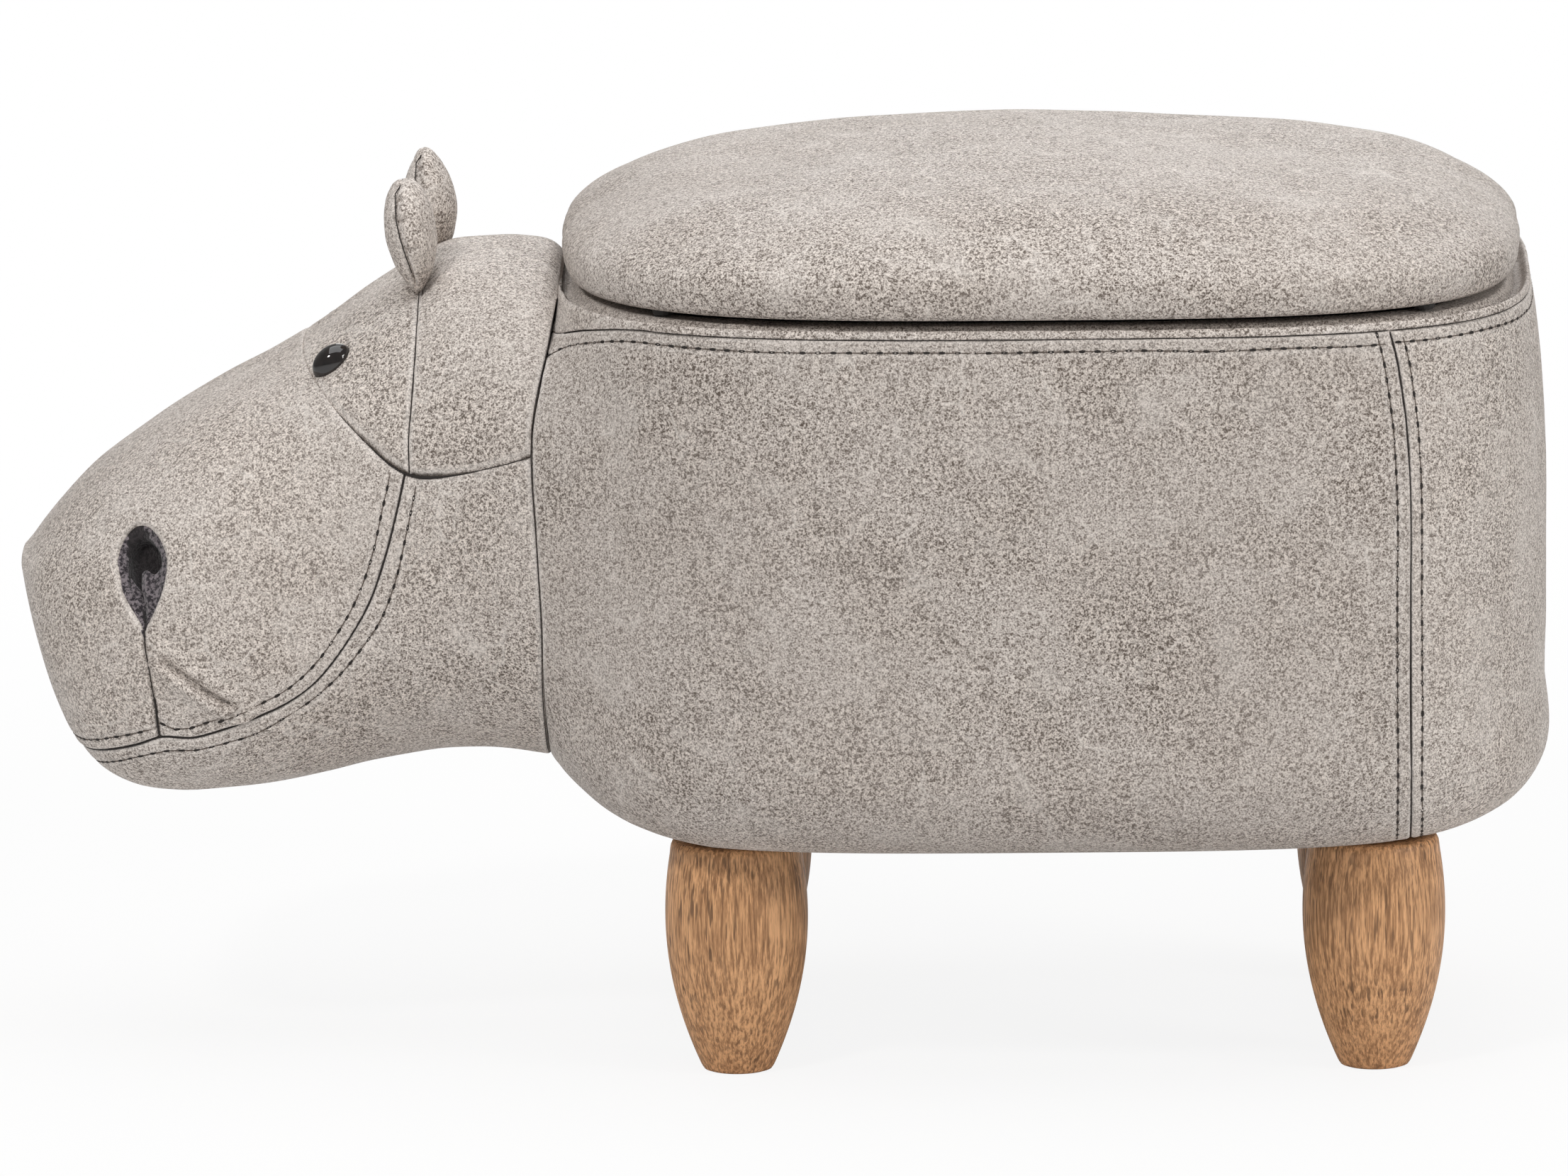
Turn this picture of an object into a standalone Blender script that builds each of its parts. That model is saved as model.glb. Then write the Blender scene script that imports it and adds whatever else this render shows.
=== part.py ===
"""A storage footstool in the shape of a hippopotamus.

The barrel of the animal is a bin on four turned legs, closed by a crowned, upholstered lid on
two butt hinges. The head is a stuffed form in sewn panels, screwed to the front of the bin.
Lengths are metres. +Z is up, the nose points to -X, the side shown in pictures is -Y (near),
and the origin lies on the floor below the middle of the whole animal.
"""

import math

import bmesh
import bpy
import numpy as np
from mathutils import Matrix, Vector
from mathutils.bvhtree import BVHTree

# Driving sizes of the whole animal
OVERALL_LENGTH = 0.640
BODY_LENGTH = 0.421
BODY_WIDTH = 0.340
BODY_HEIGHT = 0.228
LEG_HEIGHT = 0.098

# Clearances between pieces and the overrun of every cut
CLEARANCE = 0.0003
LID_GAP = 0.003
LID_TO_HEAD_CLEARANCE = 0.0012
HINGE_CLEARANCE = 0.00015
OVERRUN = 0.020

# Sheet and board thicknesses
COVER_THICKNESS = 0.0015
FABRIC_THICKNESS = 0.0008
LINING_THICKNESS = 0.0010
FOAM_THICKNESS = 0.0155
PAD_THICKNESS = 0.0070
WALL_THICKNESS = 0.0090
BASE_THICKNESS = 0.0120
LID_BOARD_THICKNESS = 0.0090
HEAD_BOARD_THICKNESS = 0.0120

# Shape of the barrel: how its side draws in, and its rounded edges
PLAN_SQUARENESS = 3.4
BELLY_HEIGHT_SHARE = 0.62
RIM_DRAW_IN = 0.0075
FOOT_DRAW_IN = 0.0035
BOTTOM_ROUND = 0.040
RIM_ROUND = 0.006
TURNED_UNDER = 0.012
DUST_COVER_SET_BACK = 0.004
BINDING_INSIDE = 0.030
BASE_CHAMFER = 0.006
REAR_SEAM_FROM_REAR = 0.0595
WALL_JOINT_SHARE = 0.64

# Legs and their fixings
LEG_FROM_FRONT = 0.0805
LEG_FROM_REAR = 0.0745
LEG_FROM_SIDE = 0.082
LEG_TOP_DIAMETER = 0.0530
LEG_BELLY_DIAMETER = 0.0596
LEG_FOOT_DIAMETER = 0.0300
LEG_BELLY_HEIGHT = 0.066
LEG_EDGE_ROUND = 0.0022
BOLT_DIAMETER = 0.0080
BOLT_IN_LEG = 0.026
BOLT_BELOW_BASE_TOP = 0.0020
BOLT_POINT_SHARE = 0.25
NUT_BARREL_WALL = 0.0015
NUT_BARREL_LENGTH = 0.0085
NUT_FLANGE_DIAMETER = 0.022
NUT_FLANGE_THICKNESS = 0.0014

# Lid
LID_END_SETBACK = 0.009
LID_SIDE_SETBACK = 0.005
LID_SQUARENESS = 3.2
LID_UNDER_RISE = 0.011
LID_UNDER_REACH = 0.010
LID_TURNED_UNDER = 0.018
LID_EDGE_RISE = 0.0300
LID_EDGE_REACH = 0.060
LID_EDGE_SQUARENESS = 1.25
LID_CROWN_RISE = 0.0062
LID_LINING_SET_BACK = 0.005
LID_BOARD_INSET = 0.010
BUMPER_DIAMETER = 0.010
BUMPER_TAPER_SHARE = 0.8

# Hinges of the lid
HINGE_SPACING_SHARE = 0.475
HINGE_WIDTH = 0.050
HINGE_LEAF_LENGTH = 0.021
HINGE_LEAF_THICKNESS = 0.0010
HINGE_BARREL_DIAMETER = 0.0050
HINGE_PIN_DIAMETER = 0.0024
HINGE_KNUCKLE_SHARE = 0.3333

# Head, its ears, eyes and nostrils
HEAD_WIDTH = 0.200
CHIN_ABOVE_LEGS = 0.007
HEAD_ABOVE_RIM = 0.0116
HEAD_BOARD_WIDTH = 0.110
HEAD_BOARD_HEIGHT = 0.120
HEAD_SCREW_DIAMETER = 0.0045
HEAD_SCREW_HEAD_DIAMETER = 0.0090
HEAD_SCREW_LENGTH = 0.018
HEAD_SCREW_SPREAD_WIDTH = 0.060
HEAD_SCREW_POINT_SHARE = 0.4
HEAD_BOARD_RISE_SHARE = 0.54
EAR_HEIGHT = 0.050
EAR_THICKNESS = 0.0215
EAR_WIDTH = 0.040
EAR_SPACING = 0.078
EAR_LEAN = 0.005
EAR_SEATING = 0.006
EYE_DIAMETER = 0.0156
EYE_STANDOUT = 0.0048
EYE_FLAT_SHARE = 0.12
EYE_STEM_DIAMETER = 0.0040
EYE_STEM_LENGTH = 0.0110
EYE_WASHER_DIAMETER = 0.0120
EYE_WASHER_THICKNESS = 0.0012
NOSTRIL_WIDTH = 0.0235
NOSTRIL_HEIGHT = 0.0460
NOSTRIL_DEPTH = 0.0140
NOSTRIL_PINCH = 0.45
NOSTRIL_LINING_THICKNESS = 0.0010

# Facet counts
PLAN_SAMPLES = 4000
PLAN_POINTS = 36
HEAD_POINTS = 24
EAR_POINTS = 12
LEG_POINTS = 20
ROUND_POINTS = 12
NOSTRIL_POINTS = 14
ROUND_STEPS = 6
SIDE_STEPS = 6
RIM_STEPS = 4
LEG_TOP_STEPS = 3
LID_EDGE_STEPS = 5
EYE_STEPS = 6

# Places that follow from the sizes above
BODY_CENTRE_X = OVERALL_LENGTH / 2 - BODY_LENGTH / 2
BODY_FRONT_X = OVERALL_LENGTH / 2 - BODY_LENGTH
BODY_REAR_X = OVERALL_LENGTH / 2
NOSE_X = -OVERALL_LENGTH / 2
HEAD_LENGTH = BODY_FRONT_X - NOSE_X
RIM_TOP = LEG_HEIGHT + BODY_HEIGHT
BELLY_Z = LEG_HEIGHT + BODY_HEIGHT * BELLY_HEIGHT_SHARE
CHIN_HEIGHT = LEG_HEIGHT + CHIN_ABOVE_LEGS
HEAD_HEIGHT = RIM_TOP + HEAD_ABOVE_RIM - CHIN_HEIGHT
DUST_COVER_BOTTOM = LEG_HEIGHT + CLEARANCE
COVER_BOTTOM = DUST_COVER_BOTTOM + FABRIC_THICKNESS + CLEARANCE
PAD_BOTTOM = COVER_BOTTOM + COVER_THICKNESS + CLEARANCE
BASE_BOTTOM = PAD_BOTTOM + PAD_THICKNESS + CLEARANCE
BASE_TOP = BASE_BOTTOM + BASE_THICKNESS
WALL_BOTTOM = BASE_TOP + CLEARANCE
WALL_TOP = RIM_TOP - COVER_THICKNESS - CLEARANCE
FOAM_OUT = COVER_THICKNESS + CLEARANCE
WALL_INSET = FOAM_OUT + FOAM_THICKNESS + CLEARANCE
WALL_INNER_INSET = WALL_INSET + WALL_THICKNESS
LINING_INSET = WALL_INNER_INSET + CLEARANCE
LINING_INNER_INSET = LINING_INSET + LINING_THICKNESS
BINDING_INNER_INSET = LINING_INSET + COVER_THICKNESS
PAD_EDGE_INSET = BOTTOM_ROUND + BASE_CHAMFER
LID_LENGTH = BODY_LENGTH - LID_END_SETBACK * 2
LID_WIDTH = BODY_WIDTH - LID_SIDE_SETBACK * 2
LID_BOTTOM = RIM_TOP + LID_GAP
LID_COVER_BOTTOM = LID_BOTTOM + FABRIC_THICKNESS + CLEARANCE
LID_BOARD_BOTTOM = LID_COVER_BOTTOM + COVER_THICKNESS + CLEARANCE
LID_BOARD_TOP = LID_BOARD_BOTTOM + LID_BOARD_THICKNESS
LID_WIDEST_Z = LID_COVER_BOTTOM + LID_UNDER_RISE
HINGE_AXIS_Z = RIM_TOP + LID_GAP / 2
HINGE_AXIS_Y = BODY_WIDTH / 2 - RIM_DRAW_IN
SEAM_GAP = CLEARANCE / 2
EYE_RADIUS = EYE_DIAMETER / 2
HEAD_BOARD_MIDDLE_Z = LEG_HEIGHT + BODY_HEIGHT * HEAD_BOARD_RISE_SHARE
HEAD_BOARD_BACK_X = BODY_FRONT_X + WALL_INSET - CLEARANCE
HEAD_BOARD_FRONT_X = HEAD_BOARD_BACK_X - HEAD_BOARD_THICKNESS

# Head outline, from the nose to inside the barrel. Each row is the distance back from the nose as
# a share of the head's length, then the top and the bottom as shares of its height above the
# chin, then the half width and the height of the widest line, as shares of half the head's width
# and of the height between top and bottom.
HEAD_SECTION_SHARES = (
    (0.000, 0.435, 0.415, 0.20, 0.50),
    (0.015, 0.445, 0.360, 0.38, 0.50),
    (0.037, 0.471, 0.282, 0.54, 0.48),
    (0.069, 0.510, 0.186, 0.67, 0.46),
    (0.103, 0.546, 0.116, 0.77, 0.45),
    (0.151, 0.588, 0.062, 0.86, 0.44),
    (0.219, 0.637, 0.022, 0.94, 0.43),
    (0.301, 0.690, 0.007, 0.985, 0.42),
    (0.393, 0.740, 0.010, 1.00, 0.42),
    (0.489, 0.788, 0.022, 0.985, 0.43),
    (0.585, 0.844, 0.041, 0.965, 0.45),
    (0.671, 0.906, 0.060, 0.965, 0.46),
    (0.749, 0.954, 0.073, 0.985, 0.48),
    (0.822, 0.986, 0.081, 1.02, 0.49),
    (0.895, 0.992, 0.084, 1.07, 0.50),
    (0.959, 0.992, 0.080, 1.12, 0.50),
    (1.016, 0.980, 0.070, 1.16, 0.50),
    (1.050, 0.950, 0.060, 1.18, 0.50),
    (1.110, 0.900, 0.050, 1.195, 0.50),
    (1.190, 0.860, 0.040, 1.20, 0.50),
)
HEAD_SQUARENESS = 2.5

# Seams of the head in side view: distance back from the nose as a share of the head's length, and
# height above the chin as a share of its height. All four panels meet at the junction.
SEAM_JUNCTION_SHARES = ((0.748, 0.641),)
BROW_SEAM_SHARES = ((0.719, 0.656), (0.643, 0.712), (0.577, 0.772), (0.553, 0.808), (0.500, 1.060))
MUZZLE_SEAM_SHARES = (
    (0.709, 0.505),
    (0.631, 0.359),
    (0.533, 0.260),
    (0.416, 0.183),
    (0.316, 0.155),
    (0.264, 0.150),
    (0.130, 0.127),
    (-0.100, 0.090),
)
CHEEK_SEAM_SHARES = ((0.767, 0.639), (0.873, 0.645))
EAR_SEAM_SHARES = ((0.767, 0.930), (0.770, 1.100))
UPPER_NECK_SEAM_SHARES = ((1.034, 1.100), (1.034, 0.960), (1.023, 0.873), (1.003, 0.795), (0.989, 0.729))
NECK_JUNCTION_SHARES = ((0.988, 0.671),)
LOWER_NECK_SEAM_SHARES = ((0.996, 0.537), (1.004, 0.354), (0.997, 0.245), (1.008, 0.162), (1.010, -0.100))
AHEAD_OF_NOSE_SHARE = -0.2
BEHIND_NECK_SHARE = 1.5
BELOW_HEAD_SHARE = -0.3
ABOVE_HEAD_SHARE = 1.4
EYE_PLACE_SHARES = (0.598, 0.817)
NOSTRIL_PLACE_SHARES = (0.232, 0.460)
EAR_PLACE_SHARE = 0.774
EAR_FAR_SET_BACK = 0.008
# Ear: height, half thickness and half width as shares of the ear's own sizes.
EAR_SECTION_SHARES = (
    (0.00, 0.34, 0.36),
    (0.14, 0.60, 0.62),
    (0.32, 0.88, 0.88),
    (0.52, 1.00, 1.00),
    (0.70, 0.93, 0.92),
    (0.85, 0.70, 0.68),
    (0.95, 0.42, 0.38),
    (1.00, 0.16, 0.14),
)
EAR_SQUARENESS = 1.7
# The lid's dome rises in steps from its rounded edge to its middle.
LID_CROWN_STEP_SHARES = (0.40, 0.85)
# Bumpers under the lid, as shares of half the lid's length along the rim.
BUMPER_PLACE_SHARES = ((-0.78, -1), (0.78, -1), (-0.78, 1), (0.78, 1))


# Outline and profile tools


def quarter_turn(steps):
    """Evenly spread angles over a quarter turn."""
    return np.linspace(0, math.pi / 2, steps)


def oval_outline(length, width, squareness):
    """The plan oval as points, closer together where it turns, anticlockwise from +X."""
    angles = np.linspace(0, 2 * math.pi, PLAN_SAMPLES + 1)
    cosine, sine = np.cos(angles), np.sin(angles)
    x = length / 2 * np.sign(cosine) * np.abs(cosine) ** (2 / squareness)
    y = width / 2 * np.sign(sine) * np.abs(sine) ** (2 / squareness)
    step = np.hypot(np.diff(x), np.diff(y))
    heading = np.unwrap(np.arctan2(np.diff(y), np.diff(x)))
    turn = np.abs(np.diff(heading, append=heading[:1] + 2 * math.pi))
    travel = np.concatenate([[0], np.cumsum(step / step.sum() + turn / turn.sum())])
    stops = np.linspace(0, travel[-1], PLAN_POINTS, endpoint=False)
    return np.column_stack([np.interp(stops, travel, x), np.interp(stops, travel, y)])


def moved_inward(outline, distance, closed=True):
    """An outline whose every edge is moved to its left by the distance, with mitred corners."""
    ahead = np.roll(outline, -1, axis=0) - outline
    if not closed:
        ahead[-1] = ahead[-2]
    normal = np.column_stack([-ahead[:, 1], ahead[:, 0]])
    normal /= np.linalg.norm(normal, axis=1)[:, None]
    before = np.roll(normal, 1, axis=0)
    if not closed:
        before[0] = normal[0]
    mitre = normal + before
    mitre *= (2 / (mitre * mitre).sum(axis=1))[:, None]
    return outline + mitre * distance


def body_ring(inset, height):
    outline = oval_outline(BODY_LENGTH, BODY_WIDTH, PLAN_SQUARENESS)
    outline = moved_inward(outline, inset) + (BODY_CENTRE_X, 0)
    return np.column_stack([outline, np.full(len(outline), height)])


def lid_ring(inset, height):
    """A ring of the lid. Past its rounded edge it closes in on the middle in proportion."""
    outline = oval_outline(LID_LENGTH, LID_WIDTH, LID_SQUARENESS)
    edge = min(inset, LID_EDGE_REACH)
    shrink = 1 - max(0, inset - edge) / (LID_WIDTH / 2 - edge)
    outline = moved_inward(outline, edge) * shrink + (BODY_CENTRE_X, 0)
    return np.column_stack([outline, np.full(len(outline), height)])


def side_draw_in(height):
    """How far the side lies inside the plan oval at a height above the floor."""
    if height > BELLY_Z:
        return RIM_DRAW_IN * ((height - BELLY_Z) / (RIM_TOP - BELLY_Z)) ** 2
    return FOOT_DRAW_IN * ((BELLY_Z - height) / (BELLY_Z - COVER_BOTTOM)) ** 2


def body_profile():
    """The barrel's outside from its turned-under edge to the rim's outer corner, as inset and height."""
    points = [(BOTTOM_ROUND + FOOT_DRAW_IN + TURNED_UNDER, COVER_BOTTOM)]
    for turn in quarter_turn(ROUND_STEPS):
        height = COVER_BOTTOM + BOTTOM_ROUND * (1 - math.cos(turn))
        draw_in = side_draw_in(height) * math.sin(turn) + FOOT_DRAW_IN * (1 - math.sin(turn))
        points.append((BOTTOM_ROUND * (1 - math.sin(turn)) + draw_in, height))
    foot, seam = COVER_BOTTOM + BOTTOM_ROUND, RIM_TOP - RIM_ROUND
    for height in np.linspace(foot, seam, SIDE_STEPS)[1:]:
        points.append((side_draw_in(height), height))
    return points


def rim_profile():
    """The rounded outer edge of the rim and its flat top, on from the side."""
    edge = side_draw_in(RIM_TOP - RIM_ROUND)
    points = []
    for turn in quarter_turn(RIM_STEPS)[1:]:
        across = RIM_ROUND * (1 - math.cos(turn))
        points.append((edge + across, RIM_TOP - RIM_ROUND * (1 - math.sin(turn))))
    return points


def thickened(profile, thickness):
    """A closed profile: the given line and the same line moved inward by the thickness."""
    line = np.array(profile)
    inner = moved_inward(line, -thickness, closed=False)
    return [tuple(point) for point in line] + [tuple(point) for point in inner[::-1]]


# Mesh tools


def new_object(name, mesh):
    piece = bpy.data.objects.new(name, mesh)
    bpy.context.scene.collection.objects.link(piece)
    return piece


def object_from_faces(name, points, faces):
    """A closed mesh object with its faces turned outward."""
    mesh = bpy.data.meshes.new(name)
    mesh.from_pydata([tuple(point) for point in points], [], faces)
    shape = bmesh.new()
    shape.from_mesh(mesh)
    bmesh.ops.recalc_face_normals(shape, faces=shape.faces)
    if shape.calc_volume(signed=True) < 0:
        bmesh.ops.reverse_faces(shape, faces=shape.faces)
    shape.to_mesh(mesh)
    shape.free()
    return new_object(name, mesh)


def wall_faces(count, rings, closed):
    """The faces between each ring and the next, and back to the first when closed."""
    faces = []
    for ring in range(rings if closed else rings - 1):
        above = (ring + 1) % rings
        for point in range(count):
            following = (point + 1) % count
            faces.append((ring * count + point, ring * count + following,
                          above * count + following, above * count + point))
    return faces


def halved(faces):
    """Each four-sided face as two triangles, so that a warped face bends the same way in every piece."""
    return [half for a, b, c, d in faces for half in ((a, b, c), (a, c, d))]


def lofted(name, rings, warped=False):
    """A solid through a stack of rings, capped flat at both ends."""
    count = len(rings[0])
    faces = wall_faces(count, len(rings), closed=False)
    if warped:
        faces = halved(faces)
    faces.append(tuple(range(count))[::-1])
    faces.append(tuple(range((len(rings) - 1) * count, len(rings) * count)))
    return object_from_faces(name, np.concatenate(rings), faces)


def hoop(name, rings):
    """A ring-shaped solid whose cross-section is closed: the last ring joins the first."""
    return object_from_faces(name, np.concatenate(rings), wall_faces(len(rings[0]), len(rings), closed=True))


def turned(name, profile, count=ROUND_POINTS):
    """A solid turned about Z. The profile lists radius and height from the bottom up."""
    angles = np.arange(count) * 2 * math.pi / count
    circle = np.column_stack([np.cos(angles), np.sin(angles), np.zeros(count)])
    rings = [circle * radius + (0, 0, height) for radius, height in profile]
    return lofted(name, rings)


def turned_tube(name, profile, count=ROUND_POINTS):
    """A hollow turned solid, from a closed profile of radius and height."""
    angles = np.arange(count) * 2 * math.pi / count
    circle = np.column_stack([np.cos(angles), np.sin(angles), np.zeros(count)])
    return hoop(name, [circle * radius + (0, 0, height) for radius, height in profile])


def box(name, low, high):
    corners = [(x, y, z) for x in (low[0], high[0]) for y in (low[1], high[1]) for z in (low[2], high[2])]
    faces = [(0, 1, 3, 2), (4, 6, 7, 5), (0, 4, 5, 1), (2, 3, 7, 6), (0, 2, 6, 4), (1, 5, 7, 3)]
    return object_from_faces(name, corners, faces)


def side_prism(name, outline, low_y, high_y):
    """A side-view outline of X and Z, drawn out across the animal."""
    rings = []
    for y in (low_y, high_y):
        rings.append(np.column_stack([outline[:, 0], np.full(len(outline), y), outline[:, 1]]))
    return lofted(name, rings)


def combined(piece, other, operation, keep_other=False):
    """Joins or cuts a piece with another and keeps the result as plain mesh."""
    modifier = piece.modifiers.new(operation, "BOOLEAN")
    modifier.operation = operation
    modifier.object = other
    bpy.context.view_layer.update()
    graph = bpy.context.evaluated_depsgraph_get()
    result = bpy.data.meshes.new_from_object(piece.evaluated_get(graph))
    piece.modifiers.clear()
    piece.data = result
    if not keep_other:
        bpy.data.objects.remove(other)
    return piece


def copied(piece, name):
    return new_object(name, piece.data.copy())


def placed(piece, matrix):
    """Moves a piece's mesh, so that its object stays on the origin."""
    piece.data.transform(matrix)
    if matrix.determinant() < 0:
        piece.data.flip_normals()
    return piece


def finished(piece, surface, smooth_degrees=40):
    """Gives a piece its material and smooth shading below the given angle."""
    piece.data.materials.clear()
    piece.data.materials.append(surface)
    piece.data.shade_smooth()
    piece.data.set_sharp_from_angle(angle=math.radians(smooth_degrees))
    return piece


# Materials


def surface(name, colour, roughness, metallic=0.0):
    material = bpy.data.materials.new(name)
    material.use_nodes = True
    shader = material.node_tree.nodes["Principled BSDF"]
    shader.inputs["Base Color"].default_value = (*colour, 1.0)
    shader.inputs["Roughness"].default_value = roughness
    shader.inputs["Metallic"].default_value = metallic
    material.diffuse_color = (*colour, 1.0)
    return material


def all_surfaces():
    return {
        "faux_leather": surface("faux_leather", (0.46, 0.40, 0.36), 0.55),
        "leg_wood": surface("leg_wood", (0.45, 0.25, 0.14), 0.50),
        "plywood": surface("plywood", (0.60, 0.45, 0.29), 0.65),
        "foam": surface("foam", (0.80, 0.76, 0.62), 0.90),
        "liner_fabric": surface("liner_fabric", (0.05, 0.05, 0.05), 0.90),
        "nostril_felt": surface("nostril_felt", (0.07, 0.055, 0.065), 0.95),
        "eye_plastic": surface("eye_plastic", (0.01, 0.009, 0.009), 0.08),
        "steel": surface("steel", (0.62, 0.62, 0.63), 0.30, 1.0),
        "rubber": surface("rubber", (0.06, 0.06, 0.06), 0.75),
    }


# The barrel


def body_solid(name, inset):
    """The whole barrel up to the rim, moved inward by the inset."""
    line = np.array(body_profile() + rim_profile())
    line = moved_inward(line, -inset, closed=False)
    return lofted(name, [body_ring(*point) for point in line])


def base_board(surfaces, leg_places):
    edge = WALL_INSET
    profile = [(edge + BASE_CHAMFER, BASE_BOTTOM), (edge, BASE_BOTTOM + BASE_CHAMFER), (edge, BASE_TOP)]
    board = lofted("base_board", [body_ring(*point) for point in profile])
    barrel = BOLT_DIAMETER / 2 + CLEARANCE + NUT_BARREL_WALL + CLEARANCE
    flange = NUT_FLANGE_DIAMETER / 2 + CLEARANCE
    recess = BASE_TOP - NUT_FLANGE_THICKNESS - CLEARANCE * 2
    for x, y in leg_places:
        hole = [(barrel, BASE_BOTTOM - OVERRUN), (barrel, recess)]
        hole += [(flange, recess), (flange, BASE_TOP + OVERRUN)]
        combined(board, placed(turned("nut_hole", hole), Matrix.Translation((x, y, 0))), "DIFFERENCE")
    finished(board, surfaces["plywood"])


def bin_walls(surfaces):
    """Four bent panels on the base board: two long sides and two ends that hold the corners."""
    profile = [(WALL_INSET, WALL_BOTTOM), (WALL_INSET, WALL_TOP),
               (WALL_INNER_INSET, WALL_TOP), (WALL_INNER_INSET, WALL_BOTTOM)]
    whole = hoop("whole_wall", [body_ring(*point) for point in profile])
    joint = (BODY_LENGTH / 2 - WALL_INSET) * WALL_JOINT_SHARE
    reach = BODY_LENGTH + OVERRUN
    low, high = WALL_BOTTOM - OVERRUN, RIM_TOP + OVERRUN
    middle = BODY_CENTRE_X
    spans = {
        "wall_near": ((middle - joint, -reach, low), (middle + joint, 0, high)),
        "wall_far": ((middle - joint, 0, low), (middle + joint, reach, high)),
        "wall_front": ((middle - reach, -reach, low), (middle - joint - CLEARANCE, reach, high)),
        "wall_rear": ((middle + joint + CLEARANCE, -reach, low), (middle + reach, reach, high)),
    }
    for name, (corner, opposite) in spans.items():
        panel = combined(copied(whole, name), box("wall_cut", corner, opposite), "INTERSECT")
        if name == "wall_front":
            for y in head_screw_rows():
                combined(panel, head_screw("screw_hole", y, CLEARANCE), "DIFFERENCE")
        finished(panel, surfaces["plywood"])
    bpy.data.objects.remove(whole)


def foam_wrap(surfaces, leg_places):
    """The foam round the walls and under the base's edge, in a near and a far half."""
    outer = np.array(body_profile() + rim_profile())
    outer = moved_inward(outer, -FOAM_OUT, closed=False)
    outer = [tuple(point) for point in outer if point[0] < PAD_EDGE_INSET]
    inside = WALL_INSET - CLEARANCE
    inner = [
        (inside, WALL_TOP),
        (inside, BASE_BOTTOM + BASE_CHAMFER),
        (inside + BASE_CHAMFER, BASE_BOTTOM - CLEARANCE),
        (PAD_EDGE_INSET, BASE_BOTTOM - CLEARANCE),
        (PAD_EDGE_INSET, PAD_BOTTOM),
    ]
    whole = hoop("whole_foam", [body_ring(*point) for point in outer + inner])
    pocket = head_board_block("board_pocket", NOSE_X, HEAD_BOARD_BACK_X + OVERRUN, CLEARANCE)
    combined(whole, pocket, "DIFFERENCE")
    pierced(whole, leg_places)
    reach = BODY_LENGTH + OVERRUN
    for name, side in (("foam_wrap_near", -1), ("foam_wrap_far", 1)):
        inner_y, outer_y = side * SEAM_GAP, side * reach
        half = box("foam_cut", (-reach, min(inner_y, outer_y), -OVERRUN),
                   (reach, max(inner_y, outer_y), RIM_TOP + OVERRUN))
        finished(combined(copied(whole, name), half, "INTERSECT"), surfaces["foam"])
    bpy.data.objects.remove(whole)


def pierced(piece, leg_places):
    """Cuts room for each leg bolt in a piece under the base board."""
    hole = BOLT_DIAMETER / 2 + CLEARANCE * 2
    for x, y in leg_places:
        drill = turned("bolt_hole", [(hole, 0), (hole, BASE_BOTTOM)])
        combined(piece, placed(drill, Matrix.Translation((x, y, 0))), "DIFFERENCE")
    return piece


def underside(surfaces, leg_places):
    """The foam pad under the base board, and the dust cover over the raw edges."""
    inset = PAD_EDGE_INSET + CLEARANCE
    levels = (PAD_BOTTOM, PAD_BOTTOM + PAD_THICKNESS)
    pad = lofted("foam_base_pad", [body_ring(inset, level) for level in levels])
    finished(pierced(pad, leg_places), surfaces["foam"])
    inset = BOTTOM_ROUND + FOOT_DRAW_IN + DUST_COVER_SET_BACK
    levels = (DUST_COVER_BOTTOM, DUST_COVER_BOTTOM + FABRIC_THICKNESS)
    sheet = lofted("dust_cover", [body_ring(inset, level) for level in levels])
    finished(pierced(sheet, leg_places), surfaces["liner_fabric"])


def body_covers(surfaces, leg_places):
    """The barrel's cover with the collar where the head joins, in near, far and rear panels."""
    cut_profile = [point for point in body_profile() if point[1] < RIM_TOP - RIM_ROUND]
    seam = RIM_TOP - RIM_ROUND - SEAM_GAP
    cut_profile.append((side_draw_in(seam), seam))
    whole = hoop("whole_cover", [body_ring(*point) for point in thickened(cut_profile, COVER_THICKNESS)])
    collar = head_shell("collar")
    behind = side_prism("collar_cut", panel_outline("collar"), -BODY_WIDTH, BODY_WIDTH)
    combined(collar, behind, "INTERSECT")
    combined(collar, body_solid("body_core", COVER_THICKNESS / 2), "DIFFERENCE")
    combined(whole, head_solid("neck_opening", COVER_THICKNESS / 2), "DIFFERENCE")
    combined(whole, collar, "UNION")
    level = box("rim_cut", (-OVERALL_LENGTH, -BODY_WIDTH, -OVERRUN), (OVERALL_LENGTH, BODY_WIDTH, seam))
    combined(whole, level, "INTERSECT")
    pierced(whole, leg_places)
    seam_x = BODY_REAR_X - REAR_SEAM_FROM_REAR
    reach = OVERALL_LENGTH
    spans = {
        "body_cover_near": ((-reach, -reach, -reach), (seam_x - SEAM_GAP, -SEAM_GAP, reach)),
        "body_cover_far": ((-reach, SEAM_GAP, -reach), (seam_x - SEAM_GAP, reach, reach)),
        "body_cover_rear": ((seam_x + SEAM_GAP, -reach, -reach), (reach, reach, reach)),
    }
    for name, (corner, opposite) in spans.items():
        panel = combined(copied(whole, name), box("panel_cut", corner, opposite), "INTERSECT")
        finished(panel, surfaces["faux_leather"])
    bpy.data.objects.remove(whole)


def rim_binding(surfaces):
    """The strip over the rim, from the seam outside to the lining inside."""
    seam = RIM_TOP - RIM_ROUND + SEAM_GAP
    profile = [(side_draw_in(seam), seam)]
    profile += [point for point in rim_profile() if point[1] > seam]
    profile += [(BINDING_INNER_INSET, RIM_TOP), (BINDING_INNER_INSET, RIM_TOP - BINDING_INSIDE)]
    ring = hoop("rim_binding", [body_ring(*point) for point in thickened(profile, COVER_THICKNESS)])
    finished(ring, surfaces["faux_leather"])


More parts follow.
